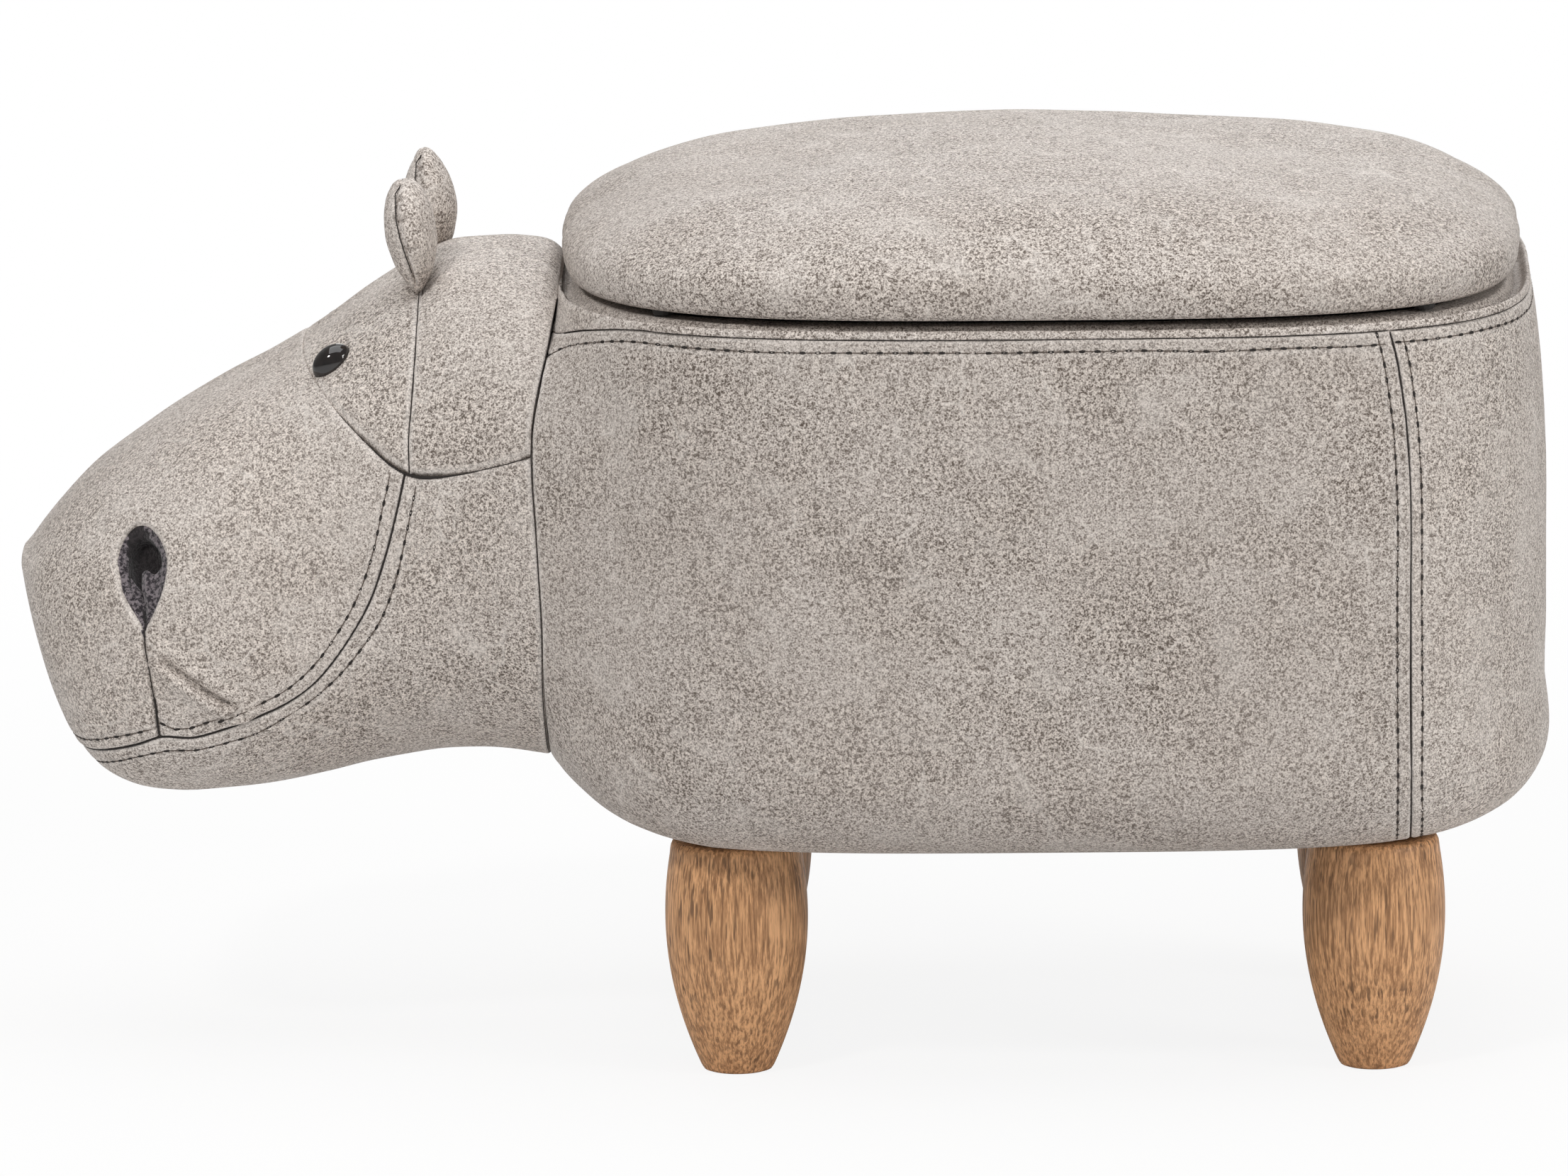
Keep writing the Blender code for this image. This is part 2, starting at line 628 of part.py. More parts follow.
def bin_lining(surfaces):
    top = RIM_TOP - BINDING_INSIDE - CLEARANCE
    floor_top = WALL_BOTTOM + LINING_THICKNESS
    profile = [(LINING_INSET, floor_top + CLEARANCE), (LINING_INSET, top),
               (LINING_INNER_INSET, top), (LINING_INNER_INSET, floor_top + CLEARANCE)]
    finished(hoop("bin_lining_wall", [body_ring(*point) for point in profile]), surfaces["liner_fabric"])
    levels = (WALL_BOTTOM, floor_top)
    floor = lofted("bin_lining_floor", [body_ring(LINING_INSET, level) for level in levels])
    finished(floor, surfaces["liner_fabric"])


# The legs


def leg_places():
    """Each leg's name and its place on the plan."""
    y = BODY_WIDTH / 2 - LEG_FROM_SIDE
    places = {}
    for end, x in (("front", BODY_FRONT_X + LEG_FROM_FRONT), ("rear", BODY_REAR_X - LEG_FROM_REAR)):
        places[f"{end}_near"] = (x, -y)
        places[f"{end}_far"] = (x, y)
    return places


def leg_profile():
    """Radius and height from the rounded foot through the belly to the flat top."""
    foot, belly, top = LEG_FOOT_DIAMETER / 2, LEG_BELLY_DIAMETER / 2, LEG_TOP_DIAMETER / 2
    points = [(foot - LEG_EDGE_ROUND, 0), (foot, LEG_EDGE_ROUND)]
    for height in np.linspace(LEG_EDGE_ROUND, LEG_BELLY_HEIGHT, SIDE_STEPS)[1:]:
        share = (LEG_BELLY_HEIGHT - height) / LEG_BELLY_HEIGHT
        points.append((belly - (belly - foot) * share ** 2, height))
    for height in np.linspace(LEG_BELLY_HEIGHT, LEG_HEIGHT, LEG_TOP_STEPS)[1:]:
        share = (height - LEG_BELLY_HEIGHT) / (LEG_HEIGHT - LEG_BELLY_HEIGHT)
        points.append((belly - (belly - top) * share ** 2, height))
    return points


def leg(name, place, surfaces):
    post = turned(f"leg_{name}", leg_profile(), LEG_POINTS)
    bore = BOLT_DIAMETER / 2 + CLEARANCE
    hole = turned("leg_hole", [(bore, LEG_HEIGHT - BOLT_IN_LEG - CLEARANCE), (bore, LEG_HEIGHT + OVERRUN)])
    combined(post, hole, "DIFFERENCE")
    finished(placed(post, Matrix.Translation((*place, 0))), surfaces["leg_wood"])


def leg_fixings(name, place, surfaces):
    """The bolt that stands out of the leg, and the flanged nut sunk in the base board."""
    spot = Matrix.Translation((*place, 0))
    radius = BOLT_DIAMETER / 2
    low, high = LEG_HEIGHT - BOLT_IN_LEG, BASE_TOP - BOLT_BELOW_BASE_TOP
    point = radius * BOLT_POINT_SHARE
    profile = [(radius - point, low), (radius, low + point), (radius, high - point), (radius - point, high)]
    finished(placed(turned(f"leg_bolt_{name}", profile), spot), surfaces["steel"])
    inner = radius + CLEARANCE
    outer = inner + NUT_BARREL_WALL
    flange = NUT_FLANGE_DIAMETER / 2
    top = BASE_TOP - CLEARANCE
    under = top - NUT_FLANGE_THICKNESS
    profile = [(inner, under - NUT_BARREL_LENGTH), (outer, under - NUT_BARREL_LENGTH), (outer, under),
               (flange, under), (flange, top), (inner, top)]
    finished(placed(turned_tube(f"leg_nut_{name}", profile), spot), surfaces["steel"])


# The head


def head_point(shares):
    """A side-view place on the head, as X and Z."""
    back, up = shares
    return (NOSE_X + HEAD_LENGTH * back, CHIN_HEIGHT + HEAD_HEIGHT * up)


def head_rings(inset):
    """The head's sections from the nose backward, moved inward along the surface's normals."""
    angles = np.arange(HEAD_POINTS) * 2 * math.pi / HEAD_POINTS
    cosine, sine = np.cos(angles), np.sin(angles)
    across = np.sign(cosine) * np.abs(cosine) ** (2 / HEAD_SQUARENESS)
    up = np.sign(sine) * np.abs(sine) ** (2 / HEAD_SQUARENESS)
    rings = []
    for back, top, bottom, width, waist in HEAD_SECTION_SHARES:
        x, top_z = head_point((back, top))
        bottom_z = head_point((back, bottom))[1]
        waist_z = bottom_z + (top_z - bottom_z) * waist
        z = waist_z + np.where(up > 0, (top_z - waist_z) * up, (waist_z - bottom_z) * up)
        rings.append(np.column_stack([np.full(HEAD_POINTS, x), across * width * HEAD_WIDTH / 2, z]))
    if inset:
        guide = lofted("head_guide", rings)
        normals = np.array([vertex.normal for vertex in guide.data.vertices]).reshape(-1, HEAD_POINTS, 3)
        bpy.data.objects.remove(guide)
        rings = [ring - normal * inset for ring, normal in zip(rings, normals)]
    return rings


def head_solid(name, inset):
    return lofted(name, head_rings(inset), warped=True)


def head_shell(name):
    """The head's whole skin as one sheet, open at the back."""
    outer, inner = head_rings(0), head_rings(COVER_THICKNESS)
    count = len(outer[0])
    skin = halved(wall_faces(count, len(outer), closed=False))
    skin.append(tuple(range(count)))
    offset = len(outer) * count
    faces = skin + [tuple(index + offset for index in face) for face in skin]
    back = offset - count
    for point in range(count):
        following = (point + 1) % count
        faces.append((back + point, back + following, back + offset + following, back + offset + point))
    return object_from_faces(name, np.concatenate(outer + inner), faces)


def panel_outline(name):
    """The side-view outline of a head panel, drawn in by half a seam gap."""
    ahead, behind, below, above = AHEAD_OF_NOSE_SHARE, BEHIND_NECK_SHARE, BELOW_HEAD_SHARE, ABOVE_HEAD_SHARE
    junction, muzzle, brow = SEAM_JUNCTION_SHARES, MUZZLE_SEAM_SHARES, BROW_SEAM_SHARES
    cheek, ear, neck_junction = CHEEK_SEAM_SHARES, EAR_SEAM_SHARES, NECK_JUNCTION_SHARES
    upper_neck, lower_neck = UPPER_NECK_SEAM_SHARES, LOWER_NECK_SEAM_SHARES
    over_brow, over_ear, over_neck = ((seam[0], above) for seam in (brow[-1], ear[-1], upper_neck[0]))
    under_neck = (lower_neck[-1][0], below)
    below_snout = ((ahead, below), under_neck)
    ahead_of_snout = ((ahead, above), (ahead, muzzle[-1][1]))
    round_barrel = (under_neck, (behind, below), (behind, above), over_neck)
    outlines = {
        "snout": junction + brow + (over_brow,) + ahead_of_snout + muzzle[::-1],
        "brow": junction + ear + (over_ear, over_brow) + brow[::-1],
        "crown": junction + cheek + neck_junction + upper_neck[::-1] + (over_neck, over_ear) + ear[::-1],
        "jaw": junction + muzzle + below_snout + lower_neck[::-1] + neck_junction + cheek[::-1],
        "collar": upper_neck + neck_junction + lower_neck + round_barrel,
    }
    outline = np.array([head_point(point) for point in outlines[name]])
    following = np.roll(outline, -1, axis=0)
    if (outline[:, 0] * following[:, 1] - outline[:, 1] * following[:, 0]).sum() < 0:
        outline = outline[::-1]
    return moved_inward(outline, SEAM_GAP)


def surface_frame(piece_tree, x, z, side):
    """Where a line from the side meets the head, with the outward direction there."""
    start = Vector((x, side * BODY_WIDTH, z))
    place, normal, _, _ = piece_tree.ray_cast(start, Vector((0, -side, 0)))
    if normal.y * side < 0:
        normal = -normal
    return place, normal


def facing(place, normal):
    """A matrix that stands a piece made along +Z out of the surface, its +Y kept upright."""
    across = Vector((0, 0, 1)).cross(normal).normalized()
    upright = normal.cross(across).normalized()
    turn = Matrix((across, upright, normal)).transposed().to_4x4()
    return Matrix.Translation(place) @ turn


def nostril_outline(grow):
    """A drop shape with its point down, as X and Y, grown all round."""
    half, tall = NOSTRIL_WIDTH / 2, NOSTRIL_HEIGHT
    points = []
    for angle in np.arange(NOSTRIL_POINTS) * 2 * math.pi / NOSTRIL_POINTS:
        pinch = ((1 + math.sin(angle)) / 2) ** NOSTRIL_PINCH
        points.append((half * math.cos(angle) * pinch, tall / 2 * math.sin(angle)))
    return moved_inward(np.array(points), -grow)


def nostril_block(name, grow, low, high):
    """The nostril's drop shape as a solid that stands from low to high along +Z."""
    outline = nostril_outline(grow)
    rings = [np.column_stack([outline, np.full(len(outline), level)]) for level in (low, high)]
    return lofted(name, rings)


def head_board_block(name, low_x, high_x, grow):
    """A block with the neck board's face, grown all round, between two places along the animal."""
    half_width, half_height = HEAD_BOARD_WIDTH / 2 + grow, HEAD_BOARD_HEIGHT / 2 + grow
    return box(name, (low_x, -half_width, HEAD_BOARD_MIDDLE_Z - half_height),
               (high_x, half_width, HEAD_BOARD_MIDDLE_Z + half_height))


def head_screw_rows():
    return (-HEAD_SCREW_SPREAD_WIDTH / 2, HEAD_SCREW_SPREAD_WIDTH / 2)


def head_screw(name, y, grow):
    """A countersunk screw from inside the bin, or with growth its hole."""
    radius, head = HEAD_SCREW_DIAMETER / 2 + grow, HEAD_SCREW_HEAD_DIAMETER / 2 + grow
    length = HEAD_SCREW_LENGTH + grow
    point = radius * HEAD_SCREW_POINT_SHARE
    profile = [(point, -length), (radius, -length + radius), (radius, radius - head), (head, 0)]
    if grow:
        profile.append((head, OVERRUN))
    inner_x = BODY_FRONT_X + WALL_INNER_INSET - CLEARANCE
    turn = Matrix.Rotation(math.pi / 2, 4, "Y")
    return placed(turned(name, profile), Matrix.Translation((inner_x, y, HEAD_BOARD_MIDDLE_Z)) @ turn)


def room_for_lid(name, grow):
    """The space that the head leaves free for the lid, above the rim."""
    reach = LID_TO_HEAD_CLEARANCE + grow
    levels = (RIM_TOP + CLEARANCE - grow, RIM_TOP + HEAD_HEIGHT)
    return lofted(name, [lid_ring(-reach, level) for level in levels])


def head_filling(surfaces, tree):
    """The stuffed core that fills the skin, seated on the barrel and the neck board."""
    core = head_solid("head_filling", COVER_THICKNESS + CLEARANCE)
    before_board = head_board_block("before_board", NOSE_X, HEAD_BOARD_FRONT_X - CLEARANCE, -CLEARANCE)
    barrel = combined(body_solid("barrel", COVER_THICKNESS), before_board, "DIFFERENCE")
    combined(core, barrel, "DIFFERENCE")
    seam = RIM_TOP - RIM_ROUND
    band = side_draw_in(seam) - CLEARANCE
    rim = lofted("rim_room", [body_ring(band, seam - CLEARANCE), body_ring(band, RIM_TOP + CLEARANCE)])
    combined(core, rim, "DIFFERENCE")
    combined(core, room_for_lid("lid_room", COVER_THICKNESS + CLEARANCE), "DIFFERENCE")
    for side in (-1, 1):
        combined(core, eye_hole("eye_pocket", tree, side), "DIFFERENCE")
        grow = NOSTRIL_LINING_THICKNESS + CLEARANCE * 2
        block = nostril_block("nostril_pocket", grow, -NOSTRIL_DEPTH - grow, OVERRUN)
        combined(core, placed(block, nostril_frame(tree, side)), "DIFFERENCE")
    finished(core, surfaces["foam"])


def nostril_frame(tree, side):
    x, z = head_point(NOSTRIL_PLACE_SHARES)
    place, normal = surface_frame(tree, x, z, side)
    normal.z = 0
    return facing(place, normal.normalized())


def eye_frame(tree, side):
    x, z = head_point(EYE_PLACE_SHARES)
    return facing(*surface_frame(tree, x, z, side))


def eye_hole(name, tree, side):
    """Room in the filling for the eye's stem and washer."""
    stem = EYE_STEM_DIAMETER / 2 + CLEARANCE * 2
    washer = EYE_WASHER_DIAMETER / 2 + CLEARANCE
    deep = -COVER_THICKNESS * 2 - EYE_WASHER_THICKNESS - CLEARANCE * 2
    profile = [(stem, -EYE_STEM_LENGTH - CLEARANCE), (stem, deep), (washer, deep), (washer, OVERRUN)]
    return placed(turned(name, profile), eye_frame(tree, side))


def eyes(surfaces, tree):
    """Domed eyes on stems, each held by a washer behind the cover."""
    for name, side in (("near", -1), ("far", 1)):
        frame = eye_frame(tree, side)
        dome = []
        sunk = EYE_STANDOUT / 2
        for turn in quarter_turn(EYE_STEPS)[:-1]:
            dome.append((EYE_RADIUS * math.cos(turn), (EYE_STANDOUT + sunk) * math.sin(turn) - sunk))
        dome.append((EYE_RADIUS * EYE_FLAT_SHARE, EYE_STANDOUT))
        eye = placed(turned(f"eye_{name}", dome, LEG_POINTS), frame)
        combined(eye, head_solid("head_face", -CLEARANCE), "DIFFERENCE")
        radius = EYE_STEM_DIAMETER / 2
        stem = placed(turned("stem", [(radius, -EYE_STEM_LENGTH), (radius, EYE_STANDOUT / 2)]), frame)
        finished(combined(eye, stem, "UNION"), surfaces["eye_plastic"])
        inner, outer = radius + CLEARANCE, EYE_WASHER_DIAMETER / 2
        low = -COVER_THICKNESS * 2 - EYE_WASHER_THICKNESS - CLEARANCE
        high = low + EYE_WASHER_THICKNESS
        ring = [(inner, low), (outer, low), (outer, high), (inner, high)]
        washer = turned_tube(f"eye_washer_{name}", ring)
        finished(placed(washer, frame), surfaces["steel"])


def nostril_linings(surfaces, tree):
    """A felt pouch behind each nostril opening."""
    for name, side in (("near", -1), ("far", 1)):
        frame = nostril_frame(tree, side)
        outside = NOSTRIL_LINING_THICKNESS + CLEARANCE
        pouch = nostril_block(f"nostril_lining_{name}", outside, -NOSTRIL_DEPTH - outside, OVERRUN)
        hollow = nostril_block("pouch_hollow", CLEARANCE, -NOSTRIL_DEPTH, OVERRUN * 2)
        combined(pouch, hollow, "DIFFERENCE")
        placed(pouch, frame)
        combined(pouch, head_solid("head_inside", COVER_THICKNESS + CLEARANCE), "INTERSECT")
        finished(pouch, surfaces["nostril_felt"])


def head_covers(surfaces, tree):
    """The four sewn panels of the head, with the nostril openings and the eye holes."""
    whole = head_shell("whole_head_cover")
    for side in (-1, 1):
        opening = nostril_block("nostril_opening", 0, -OVERRUN / 2, OVERRUN)
        combined(whole, placed(opening, nostril_frame(tree, side)), "DIFFERENCE")
        radius = EYE_STEM_DIAMETER / 2 + CLEARANCE
        drill = turned("eye_drill", [(radius, -EYE_STEM_LENGTH), (radius, OVERRUN)])
        combined(whole, placed(drill, eye_frame(tree, side)), "DIFFERENCE")
    for name in ("snout", "brow", "crown", "jaw"):
        cutter = side_prism("panel_cut", panel_outline(name), -BODY_WIDTH, BODY_WIDTH)
        panel = combined(copied(whole, f"{name}_cover"), cutter, "INTERSECT")
        if name == "crown":
            close_nape(panel)
        finished(panel, surfaces["faux_leather"])
    bpy.data.objects.remove(whole)


def close_nape(panel):
    """Turns the crown panel down behind the head, between the lid's end and the rim."""
    nape = head_solid("nape", COVER_THICKNESS / 2)
    combined(nape, room_for_lid("nape_back", COVER_THICKNESS), "INTERSECT")
    low, high = RIM_TOP + CLEARANCE, RIM_TOP + HEAD_HEIGHT
    above_rim = box("above_rim", (NOSE_X, -BODY_WIDTH, low), (BODY_REAR_X, BODY_WIDTH, high))
    combined(nape, above_rim, "INTERSECT")
    combined(panel, nape, "UNION")
    combined(panel, room_for_lid("lid_room", 0), "DIFFERENCE")


def ears(surfaces, tree):
    """Two padded ears that stand across the head, sewn into the seam over its top."""
    angles = np.arange(EAR_POINTS) * 2 * math.pi / EAR_POINTS
    cosine, sine = np.cos(angles), np.sin(angles)
    along = np.sign(cosine) * np.abs(cosine) ** (2 / EAR_SQUARENESS)
    across = np.sign(sine) * np.abs(sine) ** (2 / EAR_SQUARENESS)
    for name, side, set_back in (("near", -1, 0), ("far", 1, EAR_FAR_SET_BACK)):
        x = head_point((EAR_PLACE_SHARE, 0))[0] + set_back
        y = side * EAR_SPACING / 2
        above = Vector((x, y, RIM_TOP + HEAD_HEIGHT))
        base = tree.ray_cast(above, Vector((0, 0, -1)))[0].z - EAR_SEATING
        rings = []
        for up, thick, wide in EAR_SECTION_SHARES:
            middle = (x - EAR_LEAN * up, y, base + EAR_HEIGHT * up)
            ring = np.column_stack([along * thick * EAR_THICKNESS / 2, across * wide * EAR_WIDTH / 2,
                                    np.zeros(EAR_POINTS)])
            rings.append(ring + middle)
        ear = lofted(f"ear_{name}", rings)
        combined(ear, head_solid("head_face", -CLEARANCE), "DIFFERENCE")
        finished(ear, surfaces["faux_leather"], 60)


def head_fixing(surfaces):
    """The neck board and the two screws that hold it to the front wall from inside the bin."""
    board = head_board_block("head_board", HEAD_BOARD_FRONT_X, HEAD_BOARD_BACK_X, 0)
    for y in head_screw_rows():
        combined(board, head_screw("screw_hole", y, CLEARANCE), "DIFFERENCE")
    finished(board, surfaces["plywood"])
    for name, y in zip(("near", "far"), head_screw_rows()):
        finished(head_screw(f"head_screw_{name}", y, 0), surfaces["steel"])


# The lid


def lid_profile():
    """The lid's outside, from its turned-under edge round the side to the crown, as inset and height."""
    points = [(LID_UNDER_REACH + LID_TURNED_UNDER, LID_COVER_BOTTOM)]
    for turn in quarter_turn(RIM_STEPS):
        points.append((LID_UNDER_REACH * (1 - math.sin(turn)),
                       LID_COVER_BOTTOM + LID_UNDER_RISE * (1 - math.cos(turn))))
    power = 2 / LID_EDGE_SQUARENESS
    for turn in quarter_turn(LID_EDGE_STEPS)[1:]:
        inset = LID_EDGE_REACH * (1 - math.cos(turn) ** power)
        points.append((inset, LID_WIDEST_Z + LID_EDGE_RISE * math.sin(turn) ** power))
    return points


def lid_crown():
    """The gentle dome inside the rounded edge."""
    edge, middle = LID_EDGE_REACH, LID_WIDTH / 2
    points = []
    for share in LID_CROWN_STEP_SHARES:
        rise = LID_CROWN_RISE * (1 - (1 - share) ** 2)
        points.append((edge + (middle - edge) * share, LID_WIDEST_Z + LID_EDGE_RISE + rise))
    return points


def lid_line(inset):
    """The lid's whole outside line moved inward, without its turned-under edge."""
    line = np.array(lid_profile()[1:] + lid_crown())
    return [tuple(point) for point in moved_inward(line, -inset, closed=False)]


def lid(surfaces):
    """The upholstered lid: board, crowned cushion, cover turned under the board, and underside lining."""
    levels = (LID_BOARD_BOTTOM, LID_BOARD_TOP)
    board = lofted("lid_board", [lid_ring(LID_BOARD_INSET, level) for level in levels])
    finished(board, surfaces["plywood"])
    outer = lid_line(COVER_THICKNESS + CLEARANCE)
    cushion_line = [(LID_BOARD_INSET, LID_BOARD_TOP + CLEARANCE)]
    cushion_line += [point for point in outer if point[1] > LID_BOARD_TOP + CLEARANCE * 2]
    finished(lofted("lid_cushion", [lid_ring(*point) for point in cushion_line]), surfaces["foam"])
    line = lid_profile() + lid_crown()
    inner = [tuple(point) for point in moved_inward(np.array(line), -COVER_THICKNESS, closed=False)]
    rings = [lid_ring(*point) for point in line[::-1] + inner]
    cover = lofted("lid_cover", rings)
    finished(cover, surfaces["faux_leather"])
    inset = LID_UNDER_REACH + LID_LINING_SET_BACK
    levels = (LID_BOTTOM, LID_BOTTOM + FABRIC_THICKNESS)
    lining = lofted("lid_underside_lining", [lid_ring(inset, level) for level in levels])
    finished(lining, surfaces["liner_fabric"])


def bumpers(surfaces):
    """Rubber pads under the lid that land on the rim."""
    middle_of_rim = (BINDING_INNER_INSET + RIM_DRAW_IN + RIM_ROUND) / 2
    outline = moved_inward(oval_outline(BODY_LENGTH, BODY_WIDTH, PLAN_SQUARENESS), middle_of_rim)
    outline = np.concatenate([outline, outline[:1]])
    radius = BUMPER_DIAMETER / 2
    low, high = RIM_TOP + CLEARANCE, LID_BOTTOM - CLEARANCE
    for number, (share, side) in enumerate(BUMPER_PLACE_SHARES, 1):
        x = share * LID_LENGTH / 2
        half = outline[outline[:, 1] * side >= 0]
        half = half[np.argsort(half[:, 0])]
        y = np.interp(x, half[:, 0], half[:, 1])
        pad = turned(f"lid_bumper_{number}", [(radius * BUMPER_TAPER_SHARE, low), (radius, high)])
        finished(placed(pad, Matrix.Translation((BODY_CENTRE_X + x, y, 0))), surfaces["rubber"])


# The hinges


def hinge_barrel(name, low_x, high_x, radius):
    """A stretch of hinge barrel along the lid's axis."""
    turn = Matrix.Rotation(math.pi / 2, 4, "Y")
    barrel = turned(name, [(radius, low_x), (radius, high_x)])
    return placed(barrel, Matrix.Translation((0, HINGE_AXIS_Y, HINGE_AXIS_Z)) @ turn)


def hinge_leaf(name, middle, knuckles, low_z, surfaces):
    """A leaf that lies flat in the gap below the lid, with its knuckles round the pin."""
    half = HINGE_WIDTH / 2
    leaf = box(name, (middle - half, HINGE_AXIS_Y - HINGE_LEAF_LENGTH, low_z),
               (middle + half, HINGE_AXIS_Y, low_z + HINGE_LEAF_THICKNESS))
    radius = HINGE_BARREL_DIAMETER / 2
    clear = box("barrel_room", (middle - half - OVERRUN, HINGE_AXIS_Y - radius - CLEARANCE, low_z - radius),
                (middle + half + OVERRUN, HINGE_AXIS_Y + radius, low_z + radius * 2))
    combined(leaf, clear, "DIFFERENCE")
    for low_share, high_share in knuckles:
        low_x = middle + half * low_share + CLEARANCE * (low_share > -1)
        high_x = middle + half * high_share - CLEARANCE * (high_share < 1)
        arm = box("knuckle_arm", (low_x, HINGE_AXIS_Y - radius - CLEARANCE * 2, low_z),
                  (high_x, HINGE_AXIS_Y, low_z + HINGE_LEAF_THICKNESS))
        combined(leaf, arm, "UNION")
        combined(leaf, hinge_barrel("knuckle", low_x, high_x, radius), "UNION")
    bore = hinge_barrel("bore", middle - half - OVERRUN, middle + half + OVERRUN,
                        HINGE_PIN_DIAMETER / 2 + HINGE_CLEARANCE)
    combined(leaf, bore, "DIFFERENCE")
    finished(leaf, surfaces["steel"])


def hinges(surfaces):
    """Two butt hinges on the far long side, with the pin just outside the rim."""
    inner = HINGE_KNUCKLE_SHARE
    outer_knuckles, middle_knuckle = ((-1, -inner), (inner, 1)), ((-inner, inner),)
    for name, end in (("front", -1), ("rear", 1)):
        middle = BODY_CENTRE_X + end * BODY_LENGTH * HINGE_SPACING_SHARE / 2
        hinge_leaf(f"hinge_lower_leaf_{name}", middle, outer_knuckles, RIM_TOP + CLEARANCE, surfaces)
        upper = LID_BOTTOM - CLEARANCE - HINGE_LEAF_THICKNESS
        hinge_leaf(f"hinge_upper_leaf_{name}", middle, middle_knuckle, upper, surfaces)
        half = HINGE_WIDTH / 2 - CLEARANCE
        pin = hinge_barrel(f"hinge_pin_{name}", middle - half, middle + half, HINGE_PIN_DIAMETER / 2)
        finished(pin, surfaces["steel"])


def put_lid_on_axis():
    """Parents the lid's pieces to an empty on the hinge axis, so that turning it opens the lid."""
    axis = bpy.data.objects.new("lid_axis", None)
    axis.location = (BODY_CENTRE_X, HINGE_AXIS_Y, HINGE_AXIS_Z)
    bpy.context.scene.collection.objects.link(axis)
    bpy.context.view_layer.update()
    for piece in bpy.data.objects:
        if piece.name.startswith(("lid_", "hinge_upper")) and piece != axis:
            piece.parent = axis
            piece.matrix_parent_inverse = axis.matrix_world.inverted()


def clear_scene():
    for piece in list(bpy.data.objects):
        bpy.data.objects.remove(piece)


def main():
    clear_scene()
    surfaces = all_surfaces()
    places = leg_places()
    base_board(surfaces, places.values())
    bin_walls(surfaces)
    foam_wrap(surfaces, places.values())
    underside(surfaces, places.values())
    body_covers(surfaces, places.values())
    rim_binding(surfaces)
    bin_lining(surfaces)
    for name, place in places.items():
        leg(name, place, surfaces)
        leg_fixings(name, place, surfaces)
    guide = head_solid("head_guide", 0)
    tree = BVHTree.FromObject(guide, bpy.context.evaluated_depsgraph_get())
    bpy.data.objects.remove(guide)
    head_fixing(surfaces)
    head_filling(surfaces, tree)
    head_covers(surfaces, tree)
    nostril_linings(surfaces, tree)
    eyes(surfaces, tree)
    ears(surfaces, tree)
    lid(surfaces)
    bumpers(surfaces)
    hinges(surfaces)
    put_lid_on_axis()


main()
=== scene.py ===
import math

import bmesh
import bpy
import numpy as np
from mathutils import Matrix, Vector, kdtree
from mathutils.bvhtree import BVHTree


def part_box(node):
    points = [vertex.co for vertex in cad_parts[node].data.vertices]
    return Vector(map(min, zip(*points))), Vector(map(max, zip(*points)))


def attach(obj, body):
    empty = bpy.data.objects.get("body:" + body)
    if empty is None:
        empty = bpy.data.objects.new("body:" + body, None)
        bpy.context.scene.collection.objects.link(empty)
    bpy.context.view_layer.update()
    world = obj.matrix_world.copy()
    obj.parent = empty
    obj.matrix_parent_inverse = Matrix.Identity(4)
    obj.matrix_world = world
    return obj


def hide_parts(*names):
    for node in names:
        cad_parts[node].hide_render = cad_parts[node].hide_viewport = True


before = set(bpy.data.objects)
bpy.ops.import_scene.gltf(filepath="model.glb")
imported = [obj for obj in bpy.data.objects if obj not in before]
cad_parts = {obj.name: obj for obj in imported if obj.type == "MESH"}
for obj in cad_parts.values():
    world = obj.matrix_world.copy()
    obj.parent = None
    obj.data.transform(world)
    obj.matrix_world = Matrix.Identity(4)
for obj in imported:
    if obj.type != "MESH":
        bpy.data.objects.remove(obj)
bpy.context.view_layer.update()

# Sizes and places of the model, in metres, as in its own source
NOSE_X = -0.320
HEAD_LENGTH = 0.219
HEAD_WIDTH = 0.200
HEAD_HEIGHT = 0.2326
CHIN_Z = 0.105
BODY_LENGTH = 0.421
BODY_WIDTH = 0.340
BODY_CENTRE_X = 0.1095
COVER_BOTTOM = 0.0994
RIM_TOP = 0.326
RIM_ROUND = 0.006
RIM_SEAM_Z = 0.3214
BELLY_Z = 0.23936
RIM_DRAW_IN = 0.0075
FOOT_DRAW_IN = 0.0035
BOTTOM_ROUND = 0.040
TURNED_UNDER = 0.012
PLAN_SQUARENESS = 3.4
HEAD_SQUARENESS = 2.5
BINDING_INNER_INSET = 0.0276
BINDING_INSIDE = 0.030
LINING_INSET = 0.0261
BIN_FLOOR_Z = 0.1213
REAR_SEAM_X = 0.2605
DUST_COVER_INSET = 0.0475
DUST_COVER_Z = 0.0983
LID_LENGTH = 0.403
LID_WIDTH = 0.330
LID_SQUARENESS = 3.2
LID_COVER_BOTTOM = 0.3301
LID_UNDER_RISE = 0.011
LID_UNDER_REACH = 0.006
LID_TURNED_UNDER = 0.018
LID_EDGE_RISE = 0.0300
LID_EDGE_REACH = 0.060
LID_EDGE_SQUARENESS = 1.62
LID_SAG = 0.0014
LID_CROWN_RISE = 0.0062
LID_REAR_DRAW_IN = 0.0020
LID_LINING_INSET = 0.015
LID_LINING_Z = 0.329
EAR_SPACING = 0.078
EAR_BASE_X = -0.1505
EAR_FAR_SET_BACK = 0.008
EAR_HEIGHT = 0.0488
EAR_THICKNESS = 0.0215
EAR_WIDTH = 0.040
EAR_LEAN = 0.005
EAR_ROOT_Y = 0.0420
EAR_ROOT_Z = 0.3230
LEG_PLACES = {
    "front_near": (-0.0205, -0.088),
    "front_far": (-0.0205, 0.088),
    "rear_near": (0.2455, -0.088),
    "rear_far": (0.2455, 0.088),
}

